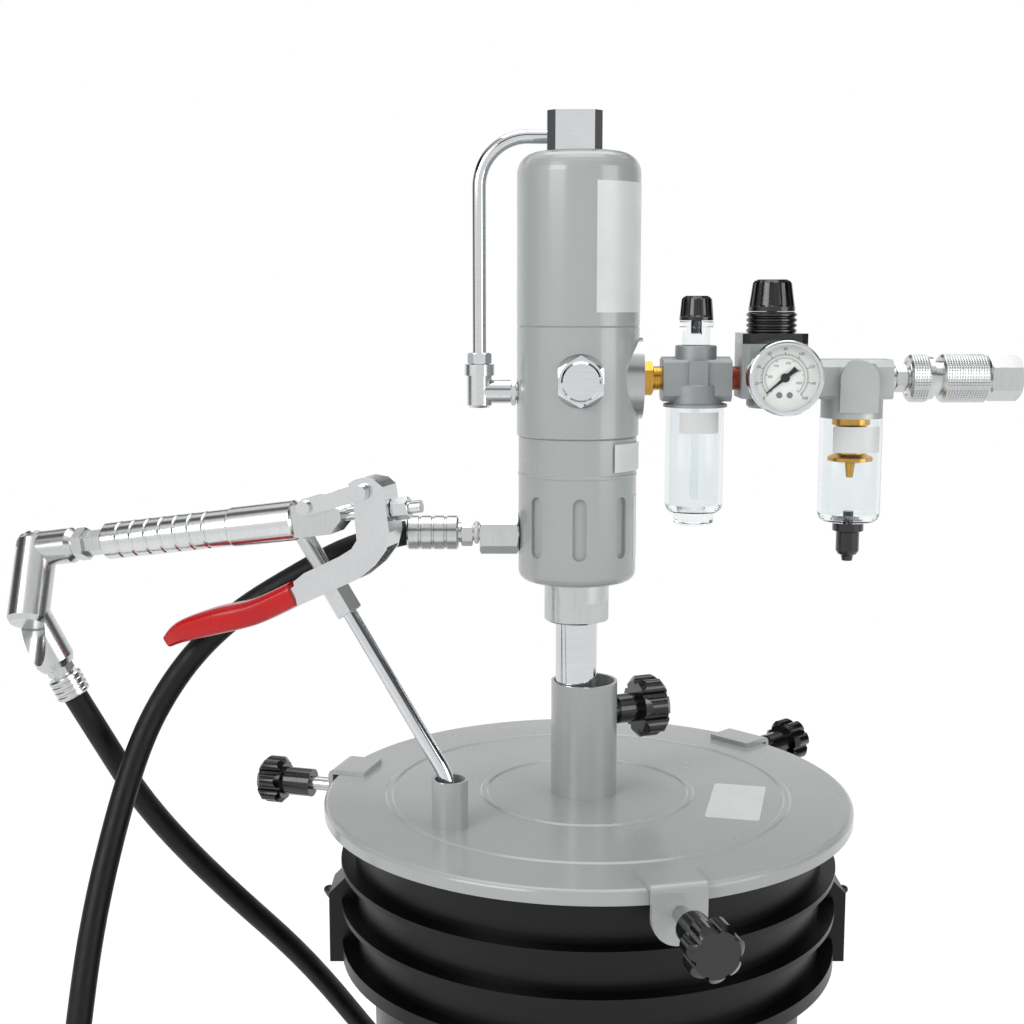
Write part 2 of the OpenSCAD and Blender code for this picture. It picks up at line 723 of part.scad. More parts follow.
// The gun's frame stands on the holder's axis; the head's frame follows the tilt of the handle
head_s = -74;
module on_gun() {
    translate([holder_x, holder_y, cover_top]) rotate(gun_turn) children();
}
module on_head() {
    on_gun() translate([head_s, 0, gun_rise]) rotate([0, -gun_tilt, 0]) children();
}
function gun_point(s, y, z) = [holder_x + s * cos(gun_turn) - y * sin(gun_turn),
    holder_y + s * sin(gun_turn) + y * cos(gun_turn), cover_top + z];
function unit(v) = v / norm(v);

// The swivel: its middle barrel crosses the handle's axis, and the last one points at the hose's end
swivel_p = -190;
swivel_top = gun_point(head_s + swivel_p * cos(gun_tilt), 0, gun_rise + swivel_p * sin(gun_tilt));
middle_dir = [0, -0.5, -0.866];
middle_l = 40;
swivel_low = swivel_top + middle_l * middle_dir;
last_dir = unit([0.4166, 0.0954, -0.9041]);
last_l = 56.6;
hose_end_point = swivel_low + last_l * last_dir;
barrel_a_d = 21;
barrel_b_d = 24;
barrel_c_d = 23;
gun_ferrule_l = 20;

// Stands its children's Z axis on a point, along a direction
module along(point, dir) {
    translate(point) rotate([0, acos(dir[2] / norm(dir)), atan2(dir[1], dir[0])]) children();
}

// The hose, swept along the route as one closed tube of rings
hose_path = concat([[pump_x - hose_start, pump_y, outlet_z]], ROUTE, [hose_end_point]);
function path_dir(i) = i == 0 ? [-1, 0, 0] : i == len(hose_path) - 1 ? -last_dir
    : unit(hose_path[i + 1] - hose_path[i - 1]);
function ring(i) = let (d = path_dir(i), u = unit(cross(d, [0.2, 1, 0.1])), v = cross(d, u))
    [for (k = [0:HOSE_SIDES - 1]) hose_path[i] + hose_d / 2
        * (cos(360 * k / HOSE_SIDES) * u + sin(360 * k / HOSE_SIDES) * v)];
module hose() {
    rings = len(hose_path);
    last = (rings - 1) * HOSE_SIDES;
    points = [for (i = [0:rings - 1], p = ring(i)) p];
    sides = [for (i = [0:rings - 2], k = [0:HOSE_SIDES - 1])
        let (a = i * HOSE_SIDES, n = (k + 1) % HOSE_SIDES)
        [a + k, a + HOSE_SIDES + k, a + HOSE_SIDES + n, a + n]];
    color(black) polyhedron(points, concat(sides, [[for (k = [0:HOSE_SIDES - 1]) k]],
        [[for (k = [HOSE_SIDES - 1:-1:0]) last + k]]));
}

// The ferrule at the gun's end of the hose
module gun_ferrule() {
    color(steel) along(hose_end_point, -last_dir) translate([0, 0, gun_ferrule_l]) mirror([0, 0, 1])
        hose_end(14, 5, gun_ferrule_l);
}

// The swivel's three barrels, each seated on the next with a small play
barrel_a_out = 8;
inlet_nut_p = -160.5;
module swivel_barrel_a() {
    color(steel) on_head() to_right() turned([[0, swivel_p - barrel_a_out],
        [barrel_a_d / 2 - 1, swivel_p - barrel_a_out], [barrel_a_d / 2, swivel_p - barrel_a_out + 1],
        [barrel_a_d / 2, inlet_nut_p - 4], [barrel_a_d / 2 - 3, inlet_nut_p - 1],
        [barrel_a_d / 2 - 3, inlet_nut_p], [0, inlet_nut_p]]);
}
module swivel_barrel_b() {
    color(steel) difference() {
        along(swivel_top, middle_dir) turned([[0, -9], [8, -9], [barrel_b_d / 2 - 4, -8],
            [barrel_b_d / 2, -4], [barrel_b_d / 2, middle_l + 4], [barrel_b_d / 2 - 2, middle_l + 7],
            [0, middle_l + 7]]);
        on_head() to_right() bar(barrel_a_d + 2 * pin_play, swivel_p - 2 * barrel_a_d, inlet_nut_p);
    }
}
module swivel_barrel_c() {
    color(steel) difference() {
        along(swivel_low, last_dir) turned([[0, 2], [barrel_c_d / 2, 2],
            [barrel_c_d / 2, last_l - gun_ferrule_l - 4],
            [barrel_c_d / 2 - 2, last_l - gun_ferrule_l], [0, last_l - gun_ferrule_l]]);
        along(swivel_top, middle_dir) bar(barrel_b_d + 2 * pin_play, -2 * middle_l, 2 * middle_l);
    }
}

// The hexagons between swivel and handle
handle_p = -15;
handle_collar_t = 0.6;
handle_start = handle_p - handle_l;
module gun_inlet_nut() {
    color(steel) on_head() to_right() {
        hex_bar(17, inlet_nut_p, inlet_nut_p + 7);
        hex_bar(13, inlet_nut_p + 6.5, handle_start);
    }
}

// The handle: a grooved grip tube and a thicker plain collar at the head
module gun_handle() {
    groove_pitch = 9.5;
    groove_t = 0.7;
    collar_l = 42;
    step = handle_p - collar_l;
    grooves = floor((step - handle_start) / groove_pitch) - 1;
    color(steel) on_head() to_right() turned(concat([[0, handle_start], [handle_d / 2 - 2, handle_start],
        [handle_d / 2, handle_start + 2]],
        [for (i = [1:grooves], p = [[0, -1.2], [-groove_t, -0.4], [-groove_t, 0.4], [0, 1.2]])
            [handle_d / 2 + p[0], handle_start + 3 + i * groove_pitch + p[1]]],
        [[handle_d / 2, step], [handle_d / 2 + handle_collar_t, step + 1],
        [handle_d / 2 + handle_collar_t, handle_p - 2],
        [handle_d / 2 - 2, handle_p], [0, handle_p]]));
}

// Places in the head's frame: the two pivots, and the line of the stem and the pipe in the gun's frame
pivot_1 = [-5, 7.4];
pivot_2 = [29.6, 12.2];
pipe_turn = 32.5;
pipe_zero = 25.4;
coupler_far = 128;
coupler_l = 18;
block_half = 10;
block_end = 14.5;
block_h = 9.2;
module on_pipe() {
    on_gun() translate([0, 0, pipe_zero]) rotate([0, -pipe_turn, 0]) children();
}

// The head: a block bored for the plunger, the pivot's ear, and the stem that leads down to the pipe
module gun_head() {
    stem_d = 10.5;
    stem_l = 34;
    ear_r = 5;
    color(steel) difference() {
        union() {
            on_head() {
                rotate([90, 0, 0]) linear_extrude(2 * block_half, center = true)
                    polygon([[handle_p, -block_h + 1], [handle_p + 1, -block_h], [block_end - 8, -block_h],
                        [block_end, -2], [block_end, 4], [pivot_1[0] + 8, block_h], [handle_p + 1, block_h],
                        [handle_p, block_h - 1]]);
                translate([pivot_1[0], block_half, pivot_1[1]]) rotate([90, 0, 0])
                    cylinder(r = ear_r, h = 2 * block_half);
            }
            on_pipe() bar(stem_d, coupler_far, coupler_far + stem_l);
        }
        on_head() {
            translate([pivot_1[0], block_half + cut, pivot_1[1]]) rotate([90, 0, 0])
                cylinder(d = pivot_d + 2 * pin_play, h = 2 * block_half + 2 * cut);
            to_right() bar(plunger_d + 2 * pin_play, handle_p + 8, block_end + cut);
            to_right() bar(handle_d + 2 * handle_collar_t + 2 * pin_play, handle_start, handle_p);
        }
    }
}

// The link: a plate on each side of the head, with the two pivot bolts
module gun_links() {
    plate_w = 9;
    inner = block_half + run_gap;
    outer = inner + link_t;
    head_d = 8;
    head_h = 2.5;
    color(steel) on_head() rotate([90, 0, 0]) {
        for (side = [0, 1]) mirror([0, 0, side]) translate([0, 0, inner]) {
            hull() for (p = [pivot_1, pivot_2]) translate(p) cylinder(d = plate_w, h = link_t);
            for (p = [pivot_1, pivot_2]) translate(p) cylinder(d = head_d, h = link_t + head_h);
        }
        for (p = [pivot_1, pivot_2]) translate([p[0], p[1], -inner - 0.5])
            cylinder(d = pivot_d, h = 2 * inner + 1);
    }
}

// The lever: two cheeks round the stem, joined by the web in front of the plunger and by a tang
web_p = 39;
web_end = 42;
tang = [[-18, -35], [-26, -38.6], [-50, -45.5], [-76, -48.3], [-99, -52.8], [-99, -60.4], [-76, -56.9],
    [-50, -54], [-26, -47.6], [-18, -45.3]];
module gun_lever() {
    inner = lever_half - lever_t;
    screw_slot = 4.8;
    color(steel) on_head() difference() {
        rotate([90, 0, 0]) {
            difference() {
                linear_extrude(2 * lever_half, center = true)
                    polygon([[22, 17.5], [26, 19.4], [31, 20], [37.7, 18], [web_end, 13.6], [web_end, -11.6],
                        [38, -21.2], [30, -29], [19, -35.6], [-16.8, -46.6], [-20, -47.4],
                        [-20, -33.5], [-12.6, -29.2], [10, -22], [18, -18.5], [22, -14], [23.3, 7.2]]);
                linear_extrude(2 * inner, center = true)
                    polygon([[-18, -60], [-18, 0], [10, 30], [web_p, 30], [web_p, -14], [36, -60]]);
            }
            linear_extrude(2 * inner, center = true)
                polygon(tang);
        }
        translate([pivot_2[0], lever_half + cut, pivot_2[1]]) rotate([90, 0, 0])
            cylinder(d = pivot_d + 2 * pin_play, h = 2 * lever_half + 2 * cut);
        to_right() bar(2 * screw_slot, web_p - cut, web_end + cut);
    }
}

// The soft grip on the lever: round sections joined to one handle, hollow for the tang
module lever_grip() {
    half = lever_half + 1;
    SECTIONS = [[-28, -43, 14.6], [-50, -49.8, 15.2], [-76, -52.6, 16], [-98, -56.5, 14.6], [-112, -63.5, 7]];
    color(red) on_head() difference() {
        for (i = [0:len(SECTIONS) - 2]) hull() for (s = [SECTIONS[i], SECTIONS[i + 1]])
            translate([s[0], 0, s[1]]) rotate([90, 0, 0]) {
                cylinder(d = s[2], h = 2 * half - 6, center = true, $fn = 24);
                cylinder(d = s[2] - 4, h = 2 * half, center = true, $fn = 24);
            }
        rotate([90, 0, 0]) linear_extrude(2 * (lever_half - lever_t) + 0.2, center = true)
            polygon(concat([[-10, -31.4]], tang, [[-10, -43]]));
    }
}

// The plunger: its rod, the lock nut outside the web and the end of the adjusting screw
module gun_plunger() {
    nut_l = 10;
    screw_end = 59;
    color(steel) on_head() to_right() {
        bar(plunger_d, handle_p + 14, screw_end);
        hex_bar(11, web_end + run_gap, web_end + run_gap + nut_l);
    }
}

// The hexagon between stem and pipe
module gun_coupler() {
    color(steel) on_pipe() difference() {
        hex_bar(14.5, coupler_far - coupler_l, coupler_far);
        bar(pipe_d + 2 * pin_play, coupler_far - coupler_l - cut, coupler_far - coupler_l + 8);
    }
}

// The delivery pipe: down from the coupler, round a bend and into the holder, standing on the cover
module gun_pipe() {
    reach = pipe_bend * tan(pipe_turn / 2);
    swell = 0.06;
    lap = 0.5;
    color(chrome) {
        on_pipe() bar(pipe_d, reach - lap, coupler_far - coupler_l + 7.5);
        on_gun() translate([-pipe_bend, 0, pipe_zero - reach]) rotate([90, 0, 0])
            rotate_extrude(angle = pipe_turn) translate([pipe_bend, 0]) circle(d = pipe_d + swell);
        on_gun() bar(pipe_d, 0, pipe_zero - reach + lap);
    }
}

// Stations of the air line along +X, from the port's boss to the coupler
boss_x = pump_x + boss_reach;
lub_x0 = boss_x + 11.6;
lub_x = lub_x0 + lub_w / 2;
reg_x0 = lub_x0 + lub_w + 5;
reg_x = reg_x0 + reg_w / 2;
filter_x0 = reg_x0 + reg_w + 8.4;
filter_x = filter_x0 + filter_w / 2;
filter_x1 = filter_x0 + filter_w;
nipple_in = 9;
knob_pin_d = 6;
lub_low = port_z - 16.4;
filter_low = port_z - 22.7;
collar_top = port_z + 19;
ring_top = collar_top + 14;
reg_top = port_z + 20.2;
reg_half = reg_w / 2;
bonnet_top = reg_top + 18;
filter_floor = filter_low - filter_bowl_l;

// Puts its children on the air line's axis
module on_line() {
    translate([0, pump_y, port_z]) to_right() children();
}
module line_hole(from, to) {
    on_line() bar(thread_d + 2 * pin_play, from, to);
}

// The nipple from the motor to the lubricator
module inlet_nipple() {
    color(brass) on_line() {
        bar(thread_d, boss_x - thread_in, lub_x0 + nipple_in);
        hex_bar(17, boss_x, boss_x + 6.5);
    }
}

// The lubricator's head: port block, bowl ring, front rib and the neck under the sight dome
module lubricator_body() {
    ring_d = 31.5;
    lip_d = 37;
    rib_w = 10.7;
    collar_d = 24;
    port_d = 25;
    color(cast_grey) difference() {
        union() {
            on_line() {
                bar(port_d, lub_x0, lub_x0 + lub_w);
                intersection() {
                    translate([-11, -port_d / 2, lub_x0]) cube([24, port_d, lub_w]);
                    bar(port_d * 1.25, lub_x0, lub_x0 + lub_w);
                }
            }
            translate([lub_x, pump_y, 0]) turned([[0, lub_low], [lip_d / 2, lub_low],
                [lip_d / 2, lub_low + 1.6],
                [ring_d / 2, lub_low + 2.4], [ring_d / 2, lub_low + 12.5], [ring_d / 2 - 1, lub_low + 13.5],
                [rib_w / 2, lub_low + 13.5], [rib_w / 2, port_z + 1], [rib_w / 2 + 3, port_z + 4],
                [collar_d / 2 - 1, port_z + 8.5], [collar_d / 2, port_z + 10],
                [collar_d / 2, collar_top - 0.6],
                [collar_d / 2 - 0.6, collar_top], [0, collar_top]]);
            translate([lub_x - rib_w / 2, pump_y - ring_d / 2 + 1, lub_low + 12])
                cube([rib_w, ring_d / 2, 15]);
        }
        line_hole(lub_x0 - cut, lub_x0 + nipple_in + 0.5);
        line_hole(lub_x0 + lub_w - nipple_in - 0.5, lub_x0 + lub_w + cut);
        translate([lub_x, pump_y, 0]) bar(siphon_d + 2 * pin_play, lub_low - cut, lub_low + 5);
    }
}

// A clear bowl on the Z axis: a thin cup with a rounded floor, open above
module bowl(d, top, floor_z, wall = 2.2) {
    round = 5;
    turned(concat([[0, floor_z]], arc(d / 2 - round, floor_z + round, round, -90, 0),
        [[d / 2, top], [d / 2 - wall, top], [d / 2 - wall, floor_z + round], [d / 2 - round, floor_z + wall],
        [0, floor_z + wall]]));
}
siphon_d = 5;
module lubricator_bowl() {
    button_d = 23;
    button_h = 7;
    floor_z = lub_low - lub_bowl_l;
    color(clear, 0.4) translate([lub_x, pump_y, 0]) {
        bowl(lub_bowl_d, lub_low, floor_z);
        turned([[0, floor_z - button_h], [button_d / 2 - 1.5, floor_z - button_h],
            [button_d / 2, floor_z - button_h + 1.5], [button_d / 2, floor_z + 0.5], [0, floor_z + 0.5]]);
    }
}
module siphon_tube() {
    color(clear, 0.6) translate([lub_x, pump_y, 0]) bar(siphon_d, lub_low - lub_bowl_l + 8, lub_low + 4.5);
}

// The sight dome with the ring that holds the needle screw's knob
module sight_dome() {
    dome_d = 16;
    ring_d = 20;
    ring_h = 4;
    color(clear, 0.5) translate([lub_x, pump_y, 0]) difference() {
        union() {
            bar(dome_d, collar_top, ring_top - ring_h + 0.5);
            turned([[0, ring_top - ring_h], [ring_d / 2 - 0.8, ring_top - ring_h],
                [ring_d / 2, ring_top - ring_h + 0.8],
                [ring_d / 2, ring_top - 0.8], [ring_d / 2 - 0.8, ring_top], [0, ring_top]]);
        }
        bar(knob_pin_d + 2 * pin_play, ring_top - 8, ring_top + cut);
    }
}

// A ribbed cap knob on the Z axis with its pin: a plain rim, ribs all round, and a tapered crown
module ribbed_knob(d, top_d, from, height, ribs) {
    rim = height * 0.14;
    rib = d * 0.05;
    to = from + height;
    bar(knob_pin_d, from - 7.5, from + 1);
    turned([[0, from], [d / 2, from], [d / 2, from + rim], [d / 2 - rib, from + rim + 1],
        [top_d / 2 - rib, to - 1.5], [top_d / 2 - rib - 1.2, to], [0, to]]);
    intersection() {
        turned([[0, from + rim], [d / 2 - 0.2, from + rim], [top_d / 2, to - 2], [top_d / 2 - 1.2, to - 0.6],
            [0, to - 0.6]]);
        for (i = [0:ribs - 1]) rotate(i * 360 / ribs) translate([0, -rib * 0.8, from + rim])
            cube([d / 2, rib * 1.6, height]);
    }
}
module lubricator_knob() {
    color(black) translate([lub_x, pump_y, 0]) ribbed_knob(19.6, 17.5, ring_top + run_gap, 14, 14);
}

// The two nipples on either side of the regulator
module link_nipples() {
    color("#8a4a3a") on_line() for (gap = [[reg_x0 - 5, reg_x0], [filter_x0 - 8.4, filter_x0]])
        bar(thread_d, gap[0] - nipple_in, gap[1] + nipple_in);
}

// The regulator's body: a block with cut corners, a round foot and the gauge's port in front
module regulator_body() {
    corner = 4;
    low = port_z - 11;
    foot_d = 27;
    foot_h = 6;
    color(cast_grey) difference() {
        union() {
            translate([reg_x, pump_y, low]) linear_extrude(reg_top - low)
                polygon([for (q = [0:3], p = [[reg_half, reg_half - corner], [reg_half - corner, reg_half]])
                    [p[0] * cos(90 * q) - p[1] * sin(90 * q), p[0] * sin(90 * q) + p[1] * cos(90 * q)]]);
            translate([reg_x, pump_y, 0]) turned([[0, low - foot_h], [foot_d / 2 - 1.5, low - foot_h],
                [foot_d / 2, low - foot_h + 1.5], [foot_d / 2, low + 0.5], [0, low + 0.5]]);
        }
        line_hole(reg_x0 - cut, reg_x0 + nipple_in + 0.5);
        line_hole(reg_x0 + reg_w - nipple_in - 0.5, reg_x0 + reg_w + cut);
        translate([gauge_x, pump_y, gauge_z]) to_front()
            bar(gauge_stem + 2 * pin_play, reg_half - 8, reg_half + cut);
    }
}

// The black bonnet: a square flange under a ringed neck
module regulator_bonnet() {
    flange_h = 5.8;
    neck_d = 29;
    ring_pitch = 3;
    neck = reg_top + flange_h;
    corner = 4;
    color(black) translate([reg_x, pump_y, 0]) difference() {
        union() {
            translate([0, 0, reg_top]) linear_extrude(flange_h)
                polygon([for (q = [0:3], p = [[reg_half, reg_half - corner], [reg_half - corner, reg_half]])
                    [p[0] * cos(90 * q) - p[1] * sin(90 * q), p[0] * sin(90 * q) + p[1] * cos(90 * q)]]);
            turned(concat([[0, neck - 0.5], [neck_d / 2 - 1.2, neck - 0.5]],
                [for (i = [0:3], p = [[-1.2, 0.2], [0, 1], [0, 2], [-1.2, 2.8]])
                    [neck_d / 2 + p[0], neck + i * ring_pitch + p[1]]],
                [[neck_d / 2 - 1.2, bonnet_top], [0, bonnet_top]]));
        }
        bar(knob_pin_d + 2 * pin_play, bonnet_top - 8, bonnet_top + cut);
    }
}
module regulator_knob() {
    color(black) translate([reg_x, pump_y, 0]) ribbed_knob(26.6, 22.4, bonnet_top + run_gap, 18, 16);
}

// The gauge, screwed into the regulator's front: local Z runs from its back to its glass
gauge_x = reg_x + 2;
gauge_z = port_z + 2;
gauge_stem = 9.7;
gauge_back = reg_half + 4.3;
gauge_wall = 2;
dial_t = 1;
dial_at = gauge_t - 8;
lens_t = 1.5;
needle_pin = 2;
needle_turn = 50;
module on_gauge() {
    translate([gauge_x, pump_y, gauge_z]) to_front() translate([0, 0, gauge_back]) children();
}
module gauge_case() {
    lip = 1.2;
    inner_r = gauge_d / 2 - gauge_wall;
    color(chrome) on_gauge() {
        bar(gauge_stem, -gauge_back + reg_half - 7.5, 1);
        turned(concat([[0, 0], [gauge_d / 2 - 3, 0], [gauge_d / 2 - 1, 2], [gauge_d / 2 - 1, gauge_t - 7],
            [gauge_d / 2, gauge_t - 6.5]], arc(gauge_d / 2 - 1.5, gauge_t - 1.5, 1.5, 0, 90, 4),
            [[inner_r - 0.6, gauge_t], [inner_r - 0.6, gauge_t - lip], [inner_r, gauge_t - lip],
            [inner_r, dial_at], [inner_r - 1.5, dial_at], [inner_r - 1.5, 3], [0, 3]]));
    }
}
module gauge_dial() {
    color("white") on_gauge() translate([0, 0, dial_at]) difference() {
        cylinder(d = gauge_d - 2 * gauge_wall - 2 * pin_play, h = dial_t);
        translate([0, 0, -cut]) cylinder(d = needle_pin + 2 * pin_play, h = dial_t + 2 * cut);
    }
}
module gauge_needle() {
    hub_d = 5;
    needle_l = gauge_d * 0.32;
    needle_t = 0.6;
    at = dial_at + dial_t + run_gap;
    color(black) on_gauge() {
        bar(needle_pin, dial_at - 2, at + 0.5);
        bar(hub_d, at, at + 1.4);
        translate([0, 0, at + 0.4]) rotate(-90 - needle_turn) linear_extrude(needle_t)
            polygon([[-8, -1.6], [-5, -1.2], [needle_l, -0.25], [needle_l, 0.25], [-5, 1.2], [-8, 1.6]]);
    }
}
module gauge_lens() {
    color(clear, 0.2) on_gauge()
        bar(gauge_d - 2 * gauge_wall - 2 * pin_play, gauge_t - 1.2 - lens_t, gauge_t - 1.2);
}

// The filter's head: a port block with an arched boss in front, over a round foot
module filter_body() {
    depth = 28;
    top = port_z + 11;
    block_low = port_z - 11.5;
    foot_d = filter_bowl_d - 0.5;
    arch_w = 22;
    arch_out = foot_d / 2 + 2;
    color("#a4a8aa") difference() {
        union() {
            rotate([90, 0, 90]) translate([pump_y, 0, filter_x0]) linear_extrude(filter_w)
                polygon([[-depth / 2, block_low + 2], [2 - depth / 2, block_low], [depth / 2 - 2, block_low],
                    [depth / 2, block_low + 2], [depth / 2, top - 4], [depth / 2 - 4, top],
                    [4 - depth / 2, top],
                    [-depth / 2, top - 4]]);
            translate([filter_x, pump_y, 0]) {
                turned([[0, filter_low], [foot_d / 2, filter_low], [foot_d / 2, top - 4],
                    [foot_d / 2 - 2, top - 2],
                    [0, top - 2]]);
                to_front() linear_extrude(arch_out) {
                    translate([-arch_w / 2, filter_low + 4])
                        square([arch_w, top - arch_w / 2 - filter_low - 4]);
                    translate([0, top - arch_w / 2]) circle(d = arch_w);
                }
            }
        }
        line_hole(filter_x0 - cut, filter_x0 + nipple_in + 0.5);
        line_hole(filter_x1 - nipple_in - 0.5, filter_x1 + cut);
        translate([filter_x, pump_y, 0]) bar(post_d + 2 * pin_play, filter_low - cut, filter_low + 5);
    }
}
post_d = 7;
drain_pin = 6;
module filter_bowl() {
    color(clear, 0.4) translate([filter_x, pump_y, 0]) difference() {
        bowl(filter_bowl_d, filter_low, filter_floor);
        bar(drain_pin + 2 * pin_play, filter_floor - cut, filter_floor + 5);
    }
}

// The filter's inside: a post, the porous cup between two discs, and the baffle below
module filter_element() {
    color(brass) translate([filter_x, pump_y, 0]) turned([[0, filter_floor + 26], [2, filter_floor + 26],
        [3, filter_floor + 34], [13, filter_floor + 36], [13, filter_floor + 38], [9, filter_floor + 40],
        [9, filter_low - 5], [11, filter_low - 4], [11, filter_low - 0.1], [post_d / 2, filter_low - 0.1],
        [post_d / 2, filter_low + 4.5], [0, filter_low + 4.5]]);
}

// The drain under the filter's bowl: a collar, a stem and the pin through the floor
module drain_stem() {
    top = filter_floor - run_gap;
    color(black) translate([filter_x, pump_y, 0]) {
        bar(drain_pin, top - 2, filter_floor + 6);
        turned([[0, top - 23], [3, top - 23], [3.6, top - 20], [5.5, top - 19], [6.7, top - 17],
            [6.7, top - 6],
            [9, top - 5], [9, top], [0, top]]);
    }
}

// The plug in the filter's inlet: thread, hexagon and the probe in the coupler
plug_hex_at = filter_x1 + 3.3;
plug_hex_l = 6.8;
coupler_x = plug_hex_at + plug_hex_l + 0.8;
probe_d = 11;
module plug_nipple() {
    color(steel) on_line() {
        bar(thread_d, filter_x1 - nipple_in, plug_hex_at + 1);
        hex_bar(14, plug_hex_at, plug_hex_at + plug_hex_l);
        bar(probe_d, plug_hex_at + plug_hex_l - 0.5, coupler_x + 20);
    }
}

// The coupler's body: the core under the sleeve, the knurled barrel and the hexagon with its inlet
core_d = 20;
sleeve_l = 14;
sleeve_bore = core_d + 2 * pin_play;
barrel_at = coupler_x + sleeve_l + sleeve_travel + 1;
hex_at = barrel_at + 27.8;
coupler_end = hex_at + 18.1;
inlet_d = 11.8;
inlet_l = 14;
module coupler_body() {
    color(steel) on_line() difference() {
        union() {
            bar(core_d, coupler_x + 0.5, barrel_at + 1);
            turned([[0, barrel_at], [coupler_d / 2 - 1.2, barrel_at], [coupler_d / 2, barrel_at + 1.2],
                [coupler_d / 2, hex_at - 2], [coupler_d / 2 - 1.5, hex_at], [0, hex_at]]);
            hex_bar(23, hex_at - 0.5, coupler_end, 1.2);
        }
        bar(probe_d + 2 * pin_play, coupler_x - cut, coupler_x + 21);
        bar(inlet_d, coupler_end - inlet_l, coupler_end + cut);
    }
}
module coupler_sleeve() {
    knurl_l = 10.6;
    band_d = 24.5;
    color(steel) on_line() difference() {
        turned([[0, coupler_x], [coupler_d / 2 - 1.4, coupler_x], [coupler_d / 2 - 0.2, coupler_x + 1.2],
            [coupler_d / 2 - 0.2, coupler_x + knurl_l], [band_d / 2, coupler_x + knurl_l + 0.6],
            [band_d / 2, coupler_x + sleeve_l], [0, coupler_x + sleeve_l]]);
        bar(sleeve_bore, coupler_x - cut, coupler_x + sleeve_l + cut);
    }
}

pail();
pail_bail();
cover();
collar_sleeve();
gun_holder();
clamp_brackets();
clamp_knob_front();
clamp_knob_right();
clamp_knob_left();
collar_knob();
motor_cylinder();
valve_housing();
lower_housing();
top_fitting();
air_tube();
tube_nut();
tube_elbow();
front_plug();
tube_adaptor();
suction_tube();
foot_valve();
air_piston();
piston_rod();
outlet_adaptor();
hose_ferrule();
hose();
gun_ferrule();
swivel_barrel_a();
swivel_barrel_b();
swivel_barrel_c();
gun_inlet_nut();
gun_handle();
gun_head();
gun_links();
gun_lever();
lever_grip();
gun_plunger();
gun_coupler();
gun_pipe();
inlet_nipple();
lubricator_body();
lubricator_bowl();
siphon_tube();
sight_dome();
lubricator_knob();
link_nipples();
regulator_body();
regulator_bonnet();
regulator_knob();
gauge_case();
gauge_dial();
gauge_needle();
gauge_lens();
filter_body();
filter_bowl();
filter_element();
drain_stem();
plug_nipple();
coupler_body();
coupler_sleeve();
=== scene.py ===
# %% [markdown]
# A pneumatic grease pump on a pail, dressed for the studio.
# The construction is already modelled: every rigid piece arrives in one frame, at its real size and in
# its real place. This lesson adds what construction leaves out: the camera, the hose as a smooth tube,
# the finishes, the labels, threads, knurls and scales, and the light.

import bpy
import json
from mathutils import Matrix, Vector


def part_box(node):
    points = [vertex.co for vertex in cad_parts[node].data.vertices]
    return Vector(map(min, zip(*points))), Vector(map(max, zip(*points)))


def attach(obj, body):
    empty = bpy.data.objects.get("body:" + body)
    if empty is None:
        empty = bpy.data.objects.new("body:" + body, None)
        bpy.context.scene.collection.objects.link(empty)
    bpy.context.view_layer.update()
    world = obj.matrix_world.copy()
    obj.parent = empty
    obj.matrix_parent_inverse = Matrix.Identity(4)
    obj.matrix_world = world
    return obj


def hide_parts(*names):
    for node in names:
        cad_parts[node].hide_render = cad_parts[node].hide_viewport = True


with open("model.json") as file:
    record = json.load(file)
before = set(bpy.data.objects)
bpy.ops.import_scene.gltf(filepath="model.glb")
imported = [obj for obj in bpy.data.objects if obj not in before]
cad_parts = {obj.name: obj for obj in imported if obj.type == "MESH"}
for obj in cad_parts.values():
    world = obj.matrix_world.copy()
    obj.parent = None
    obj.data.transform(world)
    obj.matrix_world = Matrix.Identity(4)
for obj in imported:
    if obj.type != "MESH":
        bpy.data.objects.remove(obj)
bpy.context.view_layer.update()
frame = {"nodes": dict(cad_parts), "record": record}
NODES = frame["nodes"]

# %% [markdown]
# The tools of the lesson are the operators that a modeller clicks, so a few helpers keep each cell short.
# An operator works on whatever is selected. We therefore clear the selection before every new piece.

# %% Helpers: selection, colours and places
import json
import math
import bpy
from mathutils import Matrix, Vector

MM = 0.001
scene = bpy.context.scene


def pick(*objects):
    """Selects these objects alone, and makes the first one active."""
    if bpy.context.object and bpy.context.object.mode != "OBJECT":
        bpy.ops.object.mode_set(mode="OBJECT")
    bpy.ops.object.select_all(action="DESELECT")
    for item in objects:
        item.select_set(True)
    if objects:
        bpy.context.view_layer.objects.active = objects[0]


def colour(code):
    """Turns a hexadecimal screen colour into the linear values that a shader takes."""
    def line(v):
        return v / 12.92 if v <= 0.04045 else ((v + 0.055) / 1.055) ** 2.4
    return tuple(line(int(code[i:i + 2], 16) / 255) for i in (1, 3, 5)) + (1,)


print("helpers: pick, colour")

# %% [markdown]
# A finished piece must lie at the origin, with its place in its mesh, as the nodes of the construction do.
# So each piece is settled at the end in the same way: its place and its modifiers are applied, and it gets its
# name, the body that it rides on and its finish.

# %% Helpers: settling a piece
def settle(piece, name, body, material, smooth=35):
    """Bakes a finished piece's place into its mesh, names it, and gives it body and finish."""
    pick(piece)
    bpy.ops.object.transform_apply(location=True, rotation=True, scale=True)
    bpy.ops.object.shade_smooth_by_angle(angle=math.radians(smooth))
    piece.name = name
    piece.data.name = name
    piece.data.materials.clear()
    piece.data.materials.append(material)
    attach(piece, body)
    return piece


def apply_all(piece):
    """Applies a piece's modifiers in their order."""
    pick(piece)
    for modifier in list(piece.modifiers):
        bpy.ops.object.modifier_apply(modifier=modifier.name)


PUMP = Vector((-7, -2, 0)) * MM
LINE_Z = 620 * MM
print("the air line runs at", LINE_Z, "m")

